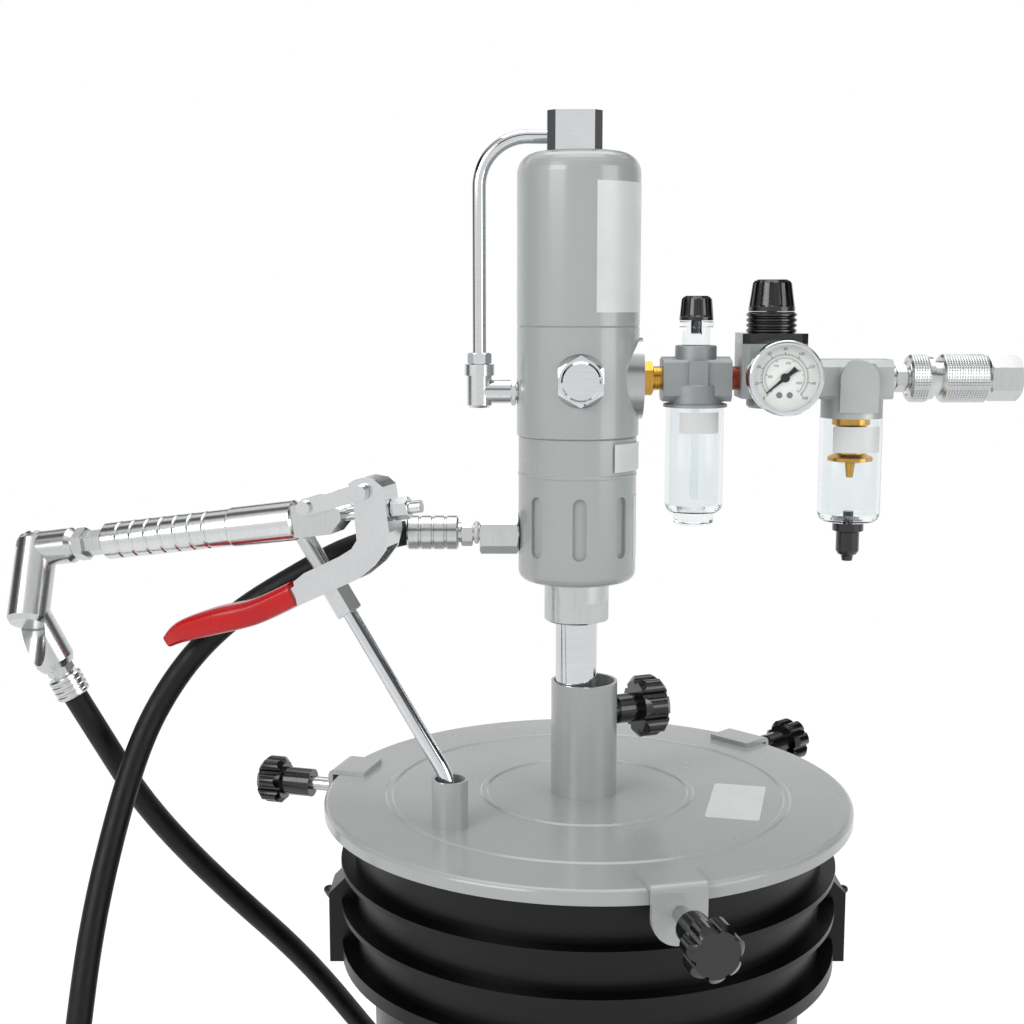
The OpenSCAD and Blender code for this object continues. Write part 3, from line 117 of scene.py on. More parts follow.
# %% [markdown]
# The camera comes first. The photograph looks almost straight ahead from a little above, so the camera
# looks along +Y and dips by eight degrees. The dip is small, so the upright edges stay nearly parallel.

# %% Camera
CAMERA_AT = (-0.0452, -0.8739, 0.6648)
CAMERA_DIP = 8.04
LENS_PX = 1500
bpy.ops.object.camera_add(location=CAMERA_AT, rotation=(math.radians(90 - CAMERA_DIP), 0, 0))
camera = bpy.context.object
camera.name = "camera"
camera.data.sensor_width = 36
camera.data.lens = 36 * LENS_PX / 1024
camera.data.clip_end = 20
scene.camera = camera
print("lens", round(camera.data.lens, 1), "mm")

# %% [markdown]
# The hose is one fixed length of stiff rubber: out of the pump, down in front, round on the floor behind
# the pail, and up to the gun. The route's points follow the construction, in millimetres, with a rounder loop
# on the floor. A smooth curve through them bends as a hose does, and easing it opens the tightest bends.

# %% Hose route
HOSE_D = 14.5 * MM
HOSE_START = (-106.6, -2, 529.5)
HOSE_END = (-307, 0, 431)
ROUTE = [(-140, -3, 521), (-171, -1, 504), (-205, 3, 483), (-233, 6, 458), (-253, 1, 431),
         (-267, -13, 401), (-278, -36, 355), (-286, -56, 308), (-290, -73, 263), (-294, -85, 215),
         (-296, -92, 170), (-298, -94, 125), (-299, -86, 82), (-298, -66, 45), (-295, -35, 20),
         (-290, 5, 8), (-279, 55, 8), (-258, 108, 8), (-226, 155, 8), (-186, 195, 8), (-140, 226, 8),
         (-95, 250, 8), (-48, 268, 8), (0, 280, 8), (31, 284, 8), (61, 286.5, 8), (89.5, 278.9, 8),
         (110.4, 258, 8), (118, 229.5, 8), (110.4, 201, 8), (89.5, 180.1, 9), (61, 172.5, 9), (38, 174, 11),
         (15, 175, 14), (-28, 173, 30), (-70, 163, 59),
         (-109, 146, 99), (-141, 125, 145), (-167, 103, 193), (-193, 82, 236), (-223, 61, 277),
         (-252, 42, 318), (-276, 24, 359), (-292, 10, 397)]


def smooth_points(points, steps):
    """Points of a curve that passes through all the given points, with no corner at any."""
    ends = [points[0]] + points + [points[-1]]
    found = []
    for a, b, c, d in zip(ends, ends[1:], ends[2:], ends[3:]):
        for i in range(steps):
            t = i / steps
            found.append(0.5 * (2 * b + (c - a) * t + (2 * a - 5 * b + 4 * c - d) * t * t
                                + (3 * b - a - 3 * c + d) * t ** 3))
    return found + [points[-1]]


def ease_bends(points, passes, still):
    """Evens out a line's bends. The first and last points, which lie in the fittings, stay."""
    for _ in range(passes):
        eased = [(a + 2 * b + c) / 4 for a, b, c in zip(points, points[1:], points[2:])]
        points = points[:still] + eased[still - 1:len(points) - still - 1] + points[-still:]
    return points


CURVE_STEPS, EASINGS, POINTS_IN_FITTING = 6, 8, 3
hose_points = smooth_points([Vector(p) * MM for p in [HOSE_START] + ROUTE + [HOSE_END]], CURVE_STEPS)
hose_points = ease_bends(hose_points, EASINGS, POINTS_IN_FITTING)

# %% [markdown]
# A bevelled curve is the quickest round tube. It is turned into a mesh at once, since the tube never bends
# again.

# %% Hose tube
hose_curve = bpy.data.curves.new("rubber_hose", "CURVE")
hose_curve.dimensions = "3D"
hose_line = hose_curve.splines.new("POLY")
hose_line.points.add(len(hose_points) - 1)
for point, place in zip(hose_line.points, hose_points):
    point.co = (*place, 1)
hose_curve.bevel_depth = HOSE_D / 2
hose_curve.bevel_resolution = 8
hose_curve.use_fill_caps = True
hose = bpy.data.objects.new("rubber_hose", hose_curve)
scene.collection.objects.link(hose)
pick(hose)
bpy.ops.object.convert(target="MESH")
hose = bpy.context.object
bpy.ops.object.shade_smooth_by_angle(angle=math.radians(60))
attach(hose, "pump")
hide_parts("hose")
print("hose tube:", len(hose.data.polygons), "faces")

# %% [markdown]
# Finishes are built from small node groups, so these helpers come first: one opens a group with named inputs
# and outputs, and the others add the steps that more than one group takes.

# %% Helpers for node groups
FLOAT, COLOUR, VECTOR = "NodeSocketFloat", "NodeSocketColor", "NodeSocketVector"


def new_group(name, inputs, outputs):
    """A shader node group with named inputs and their first values, and named outputs."""
    group = bpy.data.node_groups.new(name, "ShaderNodeTree")
    for label, kind, value in inputs:
        item = group.interface.new_socket(label, in_out="INPUT", socket_type=kind)
        item.default_value = value
    for label, kind in outputs:
        group.interface.new_socket(label, in_out="OUTPUT", socket_type=kind)
    return group, group.nodes.new("NodeGroupInput"), group.nodes.new("NodeGroupOutput")


def vector_step(group, operation, first, second=None):
    """One step of vector arithmetic, and its result."""
    step = group.nodes.new("ShaderNodeVectorMath")
    step.operation = operation
    group.links.new(first, step.inputs[0])
    if second is not None:
        group.links.new(second, step.inputs[1])
    return step.outputs["Value" if operation in ("LENGTH", "DOT_PRODUCT") else "Vector"]


def noise(group, vector, scale, detail):
    """A noise over a vector. Its scale is a number, or a socket that gives one."""
    node = group.nodes.new("ShaderNodeTexNoise")
    node.inputs["Detail"].default_value = detail
    group.links.new(vector, node.inputs["Vector"])
    if isinstance(scale, int):
        node.inputs["Scale"].default_value = scale
    else:
        group.links.new(scale, node.inputs["Scale"])
    return node.outputs["Fac"]


print("helpers for groups: new_group, vector_step, noise")

# %% [markdown]
# Every finish varies in the same three ways. A noise chooses between two colours and between two glosses, and
# a height raises a fine relief. The two groups below differ only in the noise that they hand on.

# %% Two colours, two glosses and a relief
MIX_SOCKETS = {"RGBA": (6, 7, 2), "FLOAT": (2, 3, 0)}


def vary(group, given, result, choice, span, second_colour, height, depth):
    """Lets a noise choose between two colours and two glosses, and raises a relief from a height."""
    link = group.links.new
    spread = group.nodes.new("ShaderNodeMapRange")
    spread.inputs["From Min"].default_value, spread.inputs["From Max"].default_value = span
    link(choice, spread.inputs["Value"])
    for kind, first, second, output in (("RGBA", "Colour", second_colour, "Colour"),
                                        ("FLOAT", "Gloss low", "Gloss high", "Roughness")):
        a, b, mixed = MIX_SOCKETS[kind]
        blend = group.nodes.new("ShaderNodeMix")
        blend.data_type = kind
        link(spread.outputs["Result"], blend.inputs["Factor"])
        link(given.outputs[first], blend.inputs[a])
        link(given.outputs[second], blend.inputs[b])
        link(blend.outputs[mixed], result.inputs[output])
    relief = group.nodes.new("ShaderNodeBump")
    relief.inputs["Distance"].default_value = depth
    link(given.outputs["Relief"], relief.inputs["Strength"])
    link(height, relief.inputs["Height"])
    link(relief.outputs["Normal"], result.inputs["Normal"])


SURFACE = [("Colour", COLOUR), ("Roughness", FLOAT), ("Normal", VECTOR)]
print("each surface group gives:", [label for label, kind in SURFACE])

# %% [markdown]
# The first group breaks up a colour and a gloss with soft clouds, as handling and dust do, and its relief is a
# fine grain, as of sprayed paint or moulded plastic. It reads object coordinates, so the pattern stays on its
# piece and doesn't slide with the camera.

# %% Node group: uneven surface
uneven, given, result = new_group(
    "uneven_surface",
    [("Colour", COLOUR, (0.5, 0.5, 0.5, 1)), ("Worn", COLOUR, (0.4, 0.4, 0.4, 1)), ("Scale", FLOAT, 40),
     ("Grain", FLOAT, 900), ("Gloss low", FLOAT, 0.3), ("Gloss high", FLOAT, 0.4), ("Relief", FLOAT, 0.05)],
    SURFACE)
place = uneven.nodes.new("ShaderNodeTexCoord").outputs["Object"]
clouds = noise(uneven, place, given.outputs["Scale"], 6)
grain = noise(uneven, place, given.outputs["Grain"], 3)
vary(uneven, given, result, clouds, (0.35, 0.7), "Worn", grain, 0.4 * MM)
print("group uneven_surface:", len(uneven.nodes), "nodes")

# %% [markdown]
# A turned or brushed metal shows fine lines. Noise that is squeezed along one axis gives such lines, and
# they show more in the gloss than in the colour.

# %% Node group: tool lines
tooled, given, result = new_group(
    "tool_lines",
    [("Colour", COLOUR, (0.6, 0.6, 0.6, 1)), ("Dark", COLOUR, (0.4, 0.4, 0.4, 1)),
     ("Stretch", VECTOR, (1, 1, 1)), ("Gloss low", FLOAT, 0.2), ("Gloss high", FLOAT, 0.35),
     ("Relief", FLOAT, 0.1)],
    SURFACE)
place = tooled.nodes.new("ShaderNodeTexCoord").outputs["Object"]
lines = noise(tooled, vector_step(tooled, "MULTIPLY", place, given.outputs["Stretch"]), 1, 4)
clouds = noise(tooled, place, 55, 2)
both = tooled.nodes.new("ShaderNodeMix")
both.inputs["Factor"].default_value = 0.35
for source, socket in zip((lines, clouds), MIX_SOCKETS["FLOAT"]):
    tooled.links.new(source, both.inputs[socket])
vary(tooled, given, result, both.outputs[0], (0.3, 0.7), "Dark", lines, 0.2 * MM)
print("group tool_lines:", len(tooled.nodes), "nodes")

# %% [markdown]
# A finish is now one call: the group draws what varies over the surface, and the shader's own sockets
# hold what is the same all over it, such as metal or not, the coat and the glass.

# %% Finishes
def finish(name, group, values, plain):
    """A material whose colour, gloss and relief come from a group, with plain values on the shader."""
    material = bpy.data.materials.new(name)
    material.use_nodes = True
    tree = material.node_tree
    shader = tree.nodes["Principled BSDF"]
    maker = tree.nodes.new("ShaderNodeGroup")
    maker.node_tree = group
    for label, value in values.items():
        maker.inputs[label].default_value = value
    for output, socket in (("Colour", "Base Color"), ("Roughness", "Roughness"), ("Normal", "Normal")):
        tree.links.new(maker.outputs[output], shader.inputs[socket])
    for label, value in plain.items():
        shader.inputs[label.replace("_", " ")].default_value = value
    return material


def coated(name, code, worn, gloss, scale=40, grain=900, relief=0.05, **plain):
    """A finish of paint, plastic, rubber or glass."""
    values = {"Colour": colour(code), "Worn": colour(worn), "Scale": scale, "Grain": grain,
              "Gloss low": gloss[0], "Gloss high": gloss[1], "Relief": relief}
    return finish(name, uneven, values, plain)


def machined(name, code, dark, gloss, stretch, relief=0.1, **plain):
    """A finish of bare metal with fine tool lines."""
    values = {"Colour": colour(code), "Dark": colour(dark), "Stretch": stretch,
              "Gloss low": gloss[0], "Gloss high": gloss[1], "Relief": relief}
    return finish(name, tooled, values, {"Metallic": 1.0, **plain})


print("finishes are made by: coated, machined")

# %% [markdown]
# This is the paint shelf. Each line gives two close colours, the gloss from low to high, the size of the
# clouds and of the grain or the direction of the lines, and how deep the relief is. The second colour stands
# for wear and dust. Each value was tuned by rendering and comparing with the photograph.

# %% The shelf of finishes
AROUND_Z, ALONG_X, FINE = (60, 60, 2600), (2200, 90, 90), (900, 900, 900)
FINISHES = {
    "grey_paint": coated("grey_paint", "#a4a8a7", "#a0a4a3", (0.22, 0.3), 14, 500, 0.04,
                         Coat_Weight=0.5, Coat_Roughness=0.12),
    "chrome": machined("chrome", "#dfe1e3", "#d2d5d8", (0.04, 0.09), AROUND_Z, 0.01),
    "steel": machined("satin_steel", "#dcdedf", "#cfd1d2", (0.14, 0.24), FINE, 0.02),
    "zinc": machined("zinc_plate", "#d3d5d4", "#c2c5c3", (0.16, 0.28), ALONG_X, 0.03),
    "cast_grey": coated("grey_casting", "#a0a4a5", "#94989a", (0.32, 0.44), 30, 1100, 0.15, Metallic=0.4),
    "brass": machined("brass", "#d6a850", "#b98a38", (0.16, 0.3), ALONG_X, 0.12),
    "copper_brown": machined("sealed_brass", "#a2452c", "#7e3322", (0.3, 0.45), ALONG_X, 0.2, Metallic=0.6),
    "black_plastic": coated("black_knob_plastic", "#060607", "#0a0a0b", (0.18, 0.3), 60, 1200, 0.05,
                            Coat_Weight=0.4, Coat_Roughness=0.1),
    "pail_black": coated("pail_plastic", "#040405", "#070708", (0.3, 0.42), 9, 800, 0.1,
                         Specular_IOR_Level=0.3),
    "rubber": coated("hose_rubber", "#070708", "#0c0c0d", (0.42, 0.58), 90, 1500, 0.25,
                     Specular_IOR_Level=0.3),
    "red_vinyl": coated("red_vinyl", "#bd070d", "#b0070c", (0.24, 0.34), 50, 700, 0.12,
                        Coat_Weight=0.25, Coat_Roughness=0.1, Specular_IOR_Level=0.3),
    "dial_white": coated("dial_paint", "#f0f0ec", "#e9e9e5", (0.45, 0.5), 60, 900, 0.02),
    "wire": coated("black_wire", "#1a1a1b", "#262627", (0.25, 0.4), 80, 1500, 0.1, Metallic=0.5),
    "needle_black": coated("needle_paint", "#151515", "#1c1c1c", (0.35, 0.45), 200, 1500, 0.02),
    "clear": coated("clear_bowl", "#f4f7f8", "#eef2f3", (0.02, 0.06), 30, 300, 0.02,
                    Transmission_Weight=1.0, IOR=1.25),
    "glass": coated("gauge_glass", "#fbfdfd", "#f7fafa", (0.0, 0.02), 30, 300, 0.0,
                    Transmission_Weight=1.0, IOR=1.12),
    "label_white": coated("label_film", "#d8dad9", "#d2d4d4", (0.3, 0.4), 40, 900, 0.02),
    "sealant": coated("thread_sealant", "#efefe9", "#dededa", (0.5, 0.65), 400, 1800, 0.4),
    "pale_casting": coated("pale_casting", "#b9bdbc", "#adb1b0", (0.32, 0.44), 30, 1100, 0.15, Metallic=0.4),
    "screw_steel": machined("screw_steel", "#8d9092", "#7a7d80", (0.3, 0.4), FINE, 0.02),
}
print("finishes:", len(FINISHES))

# %% [markdown]
# The record names a slot for every node, and the slot names the finish. One node differs from its slot: the
# filter's body is cast in a paler alloy than the other two.

# %% Finishes on the nodes
for part in frame["record"]["subparts"]:
    node = NODES[part["node"]]
    node.data.materials.clear()
    node.data.materials.append(FINISHES[part["material_slot"]])
NODES["filter_body"].data.materials[0] = FINISHES["pale_casting"]
hose.data.materials.append(FINISHES["rubber"])

# %% [markdown]
# Some nodes carry two finishes. The boss of the air port is machined after painting, and the star knobs are
# plastic hubs on zinc plated screws. Each time, the bare metal lies within a radius of an axis, so one group
# measures how far a point is from an axis, and how far along it.

# %% Node group: axis distance
axis_distance, given, result = new_group(
    "axis_distance", [("Start", VECTOR, (0, 0, 0)), ("Toward", VECTOR, (0, 0, 1))],
    [("Distance", FLOAT), ("Along", FLOAT)])
place = axis_distance.nodes.new("ShaderNodeTexCoord").outputs["Object"]
offset = vector_step(axis_distance, "SUBTRACT", place, given.outputs["Start"])
across = vector_step(axis_distance, "CROSS_PRODUCT", offset, given.outputs["Toward"])
axis_distance.links.new(vector_step(axis_distance, "LENGTH", across), result.inputs["Distance"])
axis_distance.links.new(vector_step(axis_distance, "DOT_PRODUCT", offset, given.outputs["Toward"]),
                        result.inputs["Along"])
print("group axis_distance:", len(axis_distance.nodes), "nodes")

# %% [markdown]
# Two such tests of place, multiplied, make the mask. It mixes the bare metal into the colour, and it turns
# the surface metallic.

# %% Bare metal by place
def bare_where(paint, name, metal, tests):
    """A copy of a finish that is bare metal where both tests of place hold."""
    material = paint.copy()
    material.name = name
    tree = material.node_tree
    link = tree.links.new
    mask = tree.nodes.new("ShaderNodeMath")
    mask.operation = "MULTIPLY"
    for socket, (start, toward, measure, operation, limit) in zip(mask.inputs, tests):
        axis = tree.nodes.new("ShaderNodeGroup")
        axis.node_tree = axis_distance
        axis.inputs["Start"].default_value = start
        axis.inputs["Toward"].default_value = toward
        test = tree.nodes.new("ShaderNodeMath")
        test.operation = operation
        test.inputs[1].default_value = limit
        link(axis.outputs[measure], test.inputs[0])
        link(test.outputs[0], socket)
    shader = tree.nodes["Principled BSDF"]
    painted, bare, mixed = MIX_SOCKETS["RGBA"]
    mix = tree.nodes.new("ShaderNodeMix")
    mix.data_type = "RGBA"
    mix.inputs[bare].default_value = colour(metal)
    link(mask.outputs[0], mix.inputs["Factor"])
    link(shader.inputs["Base Color"].links[0].from_socket, mix.inputs[painted])
    link(mix.outputs[mixed], shader.inputs["Base Color"])
    link(mask.outputs[0], shader.inputs["Metallic"])
    return material


BOSS_R, MOTOR_R = 23.7 * MM, 35.5 * MM
NODES["valve_housing"].data.materials[0] = bare_where(
    FINISHES["grey_paint"], "grey_paint_with_bare_boss", "#b4b6b7",
    [((0, PUMP.y, LINE_Z), (1, 0, 0), "Distance", "LESS_THAN", BOSS_R),
     (tuple(PUMP), (0, 0, 1), "Distance", "GREATER_THAN", MOTOR_R)])
print("valve housing: paint with a bare boss")

# %% [markdown]
# Threads come next. A screw modifier turns a small triangle round an axis while it moves along, which is
# how a thread is cut. The ends are then filled, so that the ridge is a closed solid.

# %% Threads
ALONG_LINE = Matrix.Translation((0, PUMP.y, LINE_Z)) @ Matrix.Rotation(math.radians(90), 4, "Y")


def thread(name, radius, pitch, start, end, place, body, slot):
    """A helical ridge on a rod along local Z, from start to end. Its slot also names its finish."""
    pick()
    bpy.ops.mesh.primitive_circle_add(vertices=3, radius=pitch * 0.55, fill_type="NOTHING")
    ridge = bpy.context.object
    ridge.rotation_euler = (math.radians(90), math.radians(30), 0)
    ridge.location = (radius - pitch * 0.22, 0, start + pitch / 2)
    bpy.ops.object.transform_apply(location=True, rotation=True, scale=True)
    turns = (end - start - pitch) / pitch
    screw = ridge.modifiers.new("Screw", "SCREW")
    screw.axis = "Z"
    screw.steps = screw.render_steps = round(28 * turns)
    screw.angle = math.tau * turns
    screw.screw_offset = pitch * turns
    apply_all(ridge)
    bpy.ops.object.mode_set(mode="EDIT")
    bpy.ops.mesh.select_all(action="SELECT")
    bpy.ops.mesh.fill_holes(sides=3)
    bpy.ops.mesh.normals_make_consistent(inside=False)
    bpy.ops.object.mode_set(mode="OBJECT")
    ridge.matrix_world = place
    return settle(ridge, name, body, FINISHES[slot])


THREAD_R, THREAD_PITCH = 6.8 * MM, 1.34 * MM
LINE_THREADS = {"inlet_thread": (36.3, 41.4, "brass"), "link_thread": (80.9, 85.7, "copper_brown"),
                "filter_thread": (123.2, 131.4, "copper_brown"), "plug_thread": (173, 176.1, "zinc")}
for name, (start, end, slot) in LINE_THREADS.items():
    thread(name, THREAD_R, THREAD_PITCH, start * MM, end * MM, ALONG_LINE, "pump", slot)

CLAMP_TURNS = {"clamp_front": -76, "clamp_right": 44, "clamp_left": 164}
CLAMP_Z, CLAMP_FROM, CLAMP_TO, CLAMP_R = 360 * MM, 162.4 * MM, 178.8 * MM, 4 * MM
CLAMP_THREAD_R, CLAMP_PITCH = 4.25 * MM, 1.25 * MM
for body, turn in CLAMP_TURNS.items():
    outward = (Matrix.Translation((0, 0, CLAMP_Z)) @ Matrix.Rotation(math.radians(turn), 4, "Z")
               @ Matrix.Rotation(math.radians(90), 4, "Y"))
    thread(body + "_thread", CLAMP_THREAD_R, CLAMP_PITCH, CLAMP_FROM, CLAMP_TO, outward, body, "zinc")
print("threads:", len(LINE_THREADS) + len(CLAMP_TURNS))

# %% [markdown]
# The knobs use the same mask: metal is what is nearer to the knob's axis than the screw's radius, and lies
# before the hub begins.

# %% Two finishes on one knob
HUB_AT, COLLAR_HUB_AT, COLLAR_SCREW_R, MARGIN = 179 * MM, 20.9 * MM, 5 * MM, 1.03


def knob_finish(node, hub, toward, screw_r):
    """Black plastic with a bare screw, for the knob whose hub begins at a place and faces outwards."""
    NODES[node].data.materials[0] = bare_where(
        FINISHES["black_plastic"], node + "_finish", "#c4c7c6",
        [(tuple(hub), tuple(toward), "Distance", "LESS_THAN", screw_r * MARGIN),
         (tuple(hub), tuple(toward), "Along", "LESS_THAN", 0)])


for body, turn in CLAMP_TURNS.items():
    outward = Vector((math.cos(math.radians(turn)), math.sin(math.radians(turn)), 0))
    hub = outward * HUB_AT + Vector((0, 0, CLAMP_Z))
    knob_finish("clamp_knob_" + body.split("_")[1], hub, outward, CLAMP_R)
SLEEVE = Vector((-2, 0, 420)) * MM
outward = (SLEEVE - PUMP).xy.normalized().to_3d()
knob_finish("collar_knob", SLEEVE + outward * COLLAR_HUB_AT, outward, COLLAR_SCREW_R)
print("knob finishes:", len(CLAMP_TURNS) + 1)

# %% [markdown]
# The grip is dipped vinyl: one soft skin over the lever, thick in the palm and drawn out to a lip. A curve
# through the grip's sections carries a rounded profile along, and its radius at each point swells the skin.

# %% Vinyl grip: sections
HEAD = (Matrix.Translation(Vector((-80, -62, 372)) * MM) @ Matrix.Rotation(math.radians(-17), 4, "Z")
        @ Matrix.Translation(Vector((-74, 0, 172.2)) * MM) @ Matrix.Rotation(math.radians(-8.3), 4, "Y"))
GRIP = [(-23, -41, 14.2), (-50, -49.4, 14.8), (-76, -52.8, 15.4), (-98, -56.8, 13), (-110, -62.2, 7.6)]
GRIP_D, GRIP_W = 15 * MM, 21.6 * MM
sections = smooth_points([Vector(s) * MM for s in GRIP], 8)


def curve_object(name, closed, points, radii):
    """A curve object of one straight-sided line through these points."""
    data = bpy.data.curves.new(name, "CURVE")
    data.dimensions = "3D"
    line = data.splines.new("POLY")
    line.points.add(len(points) - 1)
    for point, at, size in zip(line.points, points, radii):
        point.co = (*at, 1)
        point.radius = size
    line.use_cyclic_u = closed
    item = bpy.data.objects.new(name, data)
    scene.collection.objects.link(item)
    return item


def rounded(width, height, power, steps=40):
    """A soft rectangle: a circle whose sides are pushed out to a box."""
    found = []
    for i in range(steps):
        c, s = math.cos(math.tau * i / steps), math.sin(math.tau * i / steps)
        found.append(Vector((math.copysign(abs(c) ** power, c) * width / 2,
                             math.copysign(abs(s) ** power, s) * height / 2, 0)))
    return found


print("grip sections:", len(sections))

# %% [markdown]
# The curve becomes a mesh, its ends are closed, and a bevel rounds their rims. The head's matrix then takes
# the grip from the lever's own drawing to its place on the gun.

# %% Vinyl grip: one skin
profile = curve_object("grip_profile", True, rounded(GRIP_W, GRIP_D, 0.55), [1] * 40)
grip = curve_object("vinyl_grip", False, [Vector((p.x, 0, p.y)) for p in sections],
                    [p.z / GRIP_D for p in sections])
grip.data.twist_mode = "Z_UP"
grip.data.bevel_mode = "OBJECT"
grip.data.bevel_object = profile
grip.data.use_fill_caps = True
pick(grip)
bpy.ops.object.convert(target="MESH")
grip = bpy.context.object
bpy.data.objects.remove(profile)
bpy.ops.object.mode_set(mode="EDIT")
bpy.ops.mesh.select_all(action="SELECT")
bpy.ops.mesh.remove_doubles(threshold=0.02 * MM)
bpy.ops.mesh.normals_make_consistent(inside=False)
bpy.ops.object.mode_set(mode="OBJECT")
rim = grip.modifiers.new("Bevel", "BEVEL")
rim.width = 1.6 * MM
rim.segments = 4
rim.limit_method = "ANGLE"
rim.angle_limit = math.radians(50)
apply_all(grip)
grip.matrix_world = HEAD
settle(grip, "vinyl_grip", "lever", FINISHES["red_vinyl"], smooth=60)
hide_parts("lever_grip")
print("grip:", len(grip.data.polygons), "faces")

# %% [markdown]
# Labels are thin films. Each starts as an open tube, just outside the wall it is stuck on. Two cuts leave
# the sector that the label covers, and a solidify modifier gives the film its thickness.

# %% Labels, all blank
FILM_T, FILM_GAP = 0.12 * MM, 0.04 * MM


def film(name, axis, wall, heights, angles):
    """A curved blank label on a round wall. Heights are in millimetres, angles in degrees from +X."""
    low, high = (h * MM for h in heights)
    radius = wall + FILM_GAP
    pick()
    bpy.ops.mesh.primitive_cylinder_add(vertices=144, radius=radius, depth=high - low,
                                        end_fill_type="NOTHING", location=(0, 0, (low + high) / 2))
    label = bpy.context.object
    bpy.ops.object.transform_apply(location=True)
    bpy.ops.object.mode_set(mode="EDIT")
    for angle, side in zip(angles, (1, -1)):
        bpy.ops.mesh.select_all(action="SELECT")
        normal = (side * math.sin(math.radians(angle)), -side * math.cos(math.radians(angle)), 0)
        bpy.ops.mesh.bisect(plane_co=(0, 0, 0), plane_no=normal, clear_outer=True)
    bpy.ops.object.mode_set(mode="OBJECT")
    skin = label.modifiers.new("Solidify", "SOLIDIFY")
    skin.thickness = FILM_T
    skin.offset = 1
    apply_all(label)
    label.location = (axis.x, axis.y, 0)
    return settle(label, name, "pump", FINISHES["label_white"])


def half_width(node):
    """Half of a node's width, which is the radius of a round one."""
    low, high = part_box(node)
    return (high.x - low.x) / 2


UPPER_WALL, LOWER_WALL = 35.4 * MM, 34.4 * MM
LUBRICATOR, FILTER = Vector((61.15, -2, 0)) * MM, Vector((152.2, -2, 0)) * MM
LABELS = {"motor_label": (PUMP, UPPER_WALL, (658, 730), (-76, -6)),
          "band_label": (PUMP, UPPER_WALL, (568, 584), (-56, -4)),
          "side_label": (PUMP, LOWER_WALL, (516, 553), (-22, -2)),
          "lubricator_label": (LUBRICATOR, half_width("lubricator_bowl"), (589, 601), (-128, -44)),
          "filter_label": (FILTER, half_width("filter_bowl"), (578, 593), (-136, -40))}
for name, (axis, wall, heights, angles) in LABELS.items():
    film(name, axis, wall, heights, angles)
print("labels on round walls:", len(LABELS))

# %% [markdown]
# The lid's label lies flat, so it is a plane with its corners rounded by a bevel of the vertices. It gets its
# thickness before it is turned into place, and it stays blank like the others.

# %% Lid label
LID_TOP = 372 * MM
LID_LABEL_SIZE, LID_LABEL_CORNER, LID_LABEL_T = (31 * MM, 62 * MM, 1), 2 * MM, 0.15 * MM
LID_LABEL_AT, LID_LABEL_TURN = (87 * MM, -22 * MM, LID_TOP + 0.05 * MM), -13
pick()
bpy.ops.mesh.primitive_plane_add(size=1, location=(0, 0, LID_LABEL_AT[2]))
lid_label = bpy.context.object
bpy.ops.object.mode_set(mode="EDIT")
bpy.ops.mesh.select_all(action="SELECT")
bpy.ops.transform.resize(value=LID_LABEL_SIZE, center_override=(0, 0, LID_TOP))
bpy.ops.mesh.bevel(offset=LID_LABEL_CORNER, segments=4, affect="VERTICES")
bpy.ops.object.mode_set(mode="OBJECT")
film_skin = lid_label.modifiers.new("Solidify", "SOLIDIFY")
film_skin.thickness = LID_LABEL_T
film_skin.offset = 1
apply_all(lid_label)
lid_label.location = LID_LABEL_AT
lid_label.rotation_euler = (0, 0, math.radians(LID_LABEL_TURN))
settle(lid_label, "lid_label", "pump", FINISHES["label_white"])
print("lid label:", len(lid_label.data.polygons), "faces")

# %% [markdown]
# The quick coupler is knurled so that a wet hand can hold it. A knurl is a net of small pyramids. Rings of
# nearly square faces are stacked by an array, and each face is then poked outwards to a point.

# %% Knurls
AROUND, POINT_H, KNURL_T, MERGE = 56, 0.42 * MM, 0.3 * MM, 0.05 * MM


def knurl(name, radius, start, end, body):
    """A knurled sleeve about the air line, from x = start to x = end."""
    width = math.tau * radius / AROUND
    rows = max(2, round((end - start) / width))
    pick()
    bpy.ops.mesh.primitive_cylinder_add(vertices=AROUND, radius=radius, depth=(end - start) / rows,
                                        end_fill_type="NOTHING")
    net = bpy.context.object
    stack = net.modifiers.new("Array", "ARRAY")
    stack.count = rows
    stack.use_relative_offset = True
    stack.relative_offset_displace = (0, 0, 1)
    stack.use_merge_vertices = True
    stack.merge_threshold = MERGE
    apply_all(net)
    bpy.ops.object.mode_set(mode="EDIT")
    bpy.ops.mesh.select_all(action="SELECT")
    bpy.ops.mesh.poke(offset=POINT_H)
    bpy.ops.object.mode_set(mode="OBJECT")
    skin = net.modifiers.new("Solidify", "SOLIDIFY")
    skin.thickness = KNURL_T
    skin.offset = -1
    apply_all(net)
    net.matrix_world = ALONG_LINE @ Matrix.Translation((0, 0, start + (end - start) / rows / 2))
    return settle(net, name, body, FINISHES["zinc"], smooth=12)


knurl("sleeve_knurl", 13.6 * MM, 185 * MM, 194.2 * MM, "sleeve_ring")
knurl("barrel_knurl", 13.75 * MM, 203.6 * MM, 228 * MM, "pump")
print("knurls: 2")

# %% [markdown]
# The gauge has two scales of plain numbers. A tick is a thin plate, copied and turned round the dial, and
# all ticks are joined into one print. Numbers are text objects, made meshes before they are placed.

# %% Gauge scales
DIAL = Matrix.Translation((106.45 * MM, -38 * MM, 622 * MM)) @ Matrix.Rotation(math.radians(90), 4, "X")
SCALE_FROM, SCALE_SWEEP, INK_T = 225, -270, 0.03 * MM
ink = coated("dial_ink", "#2a2a2c", "#343436", (0.5, 0.6), 200, 900, 0.0)


def plate(width, height, place):
    """A thin printed bar in the dial's plane."""
    pick()
    bpy.ops.mesh.primitive_plane_add(size=1)
    bar = bpy.context.object
    bar.scale = (width, height, 1)
    bpy.ops.object.transform_apply(scale=True)
    bar.matrix_world = place
    bpy.ops.object.transform_apply(location=True, rotation=True)
    return bar


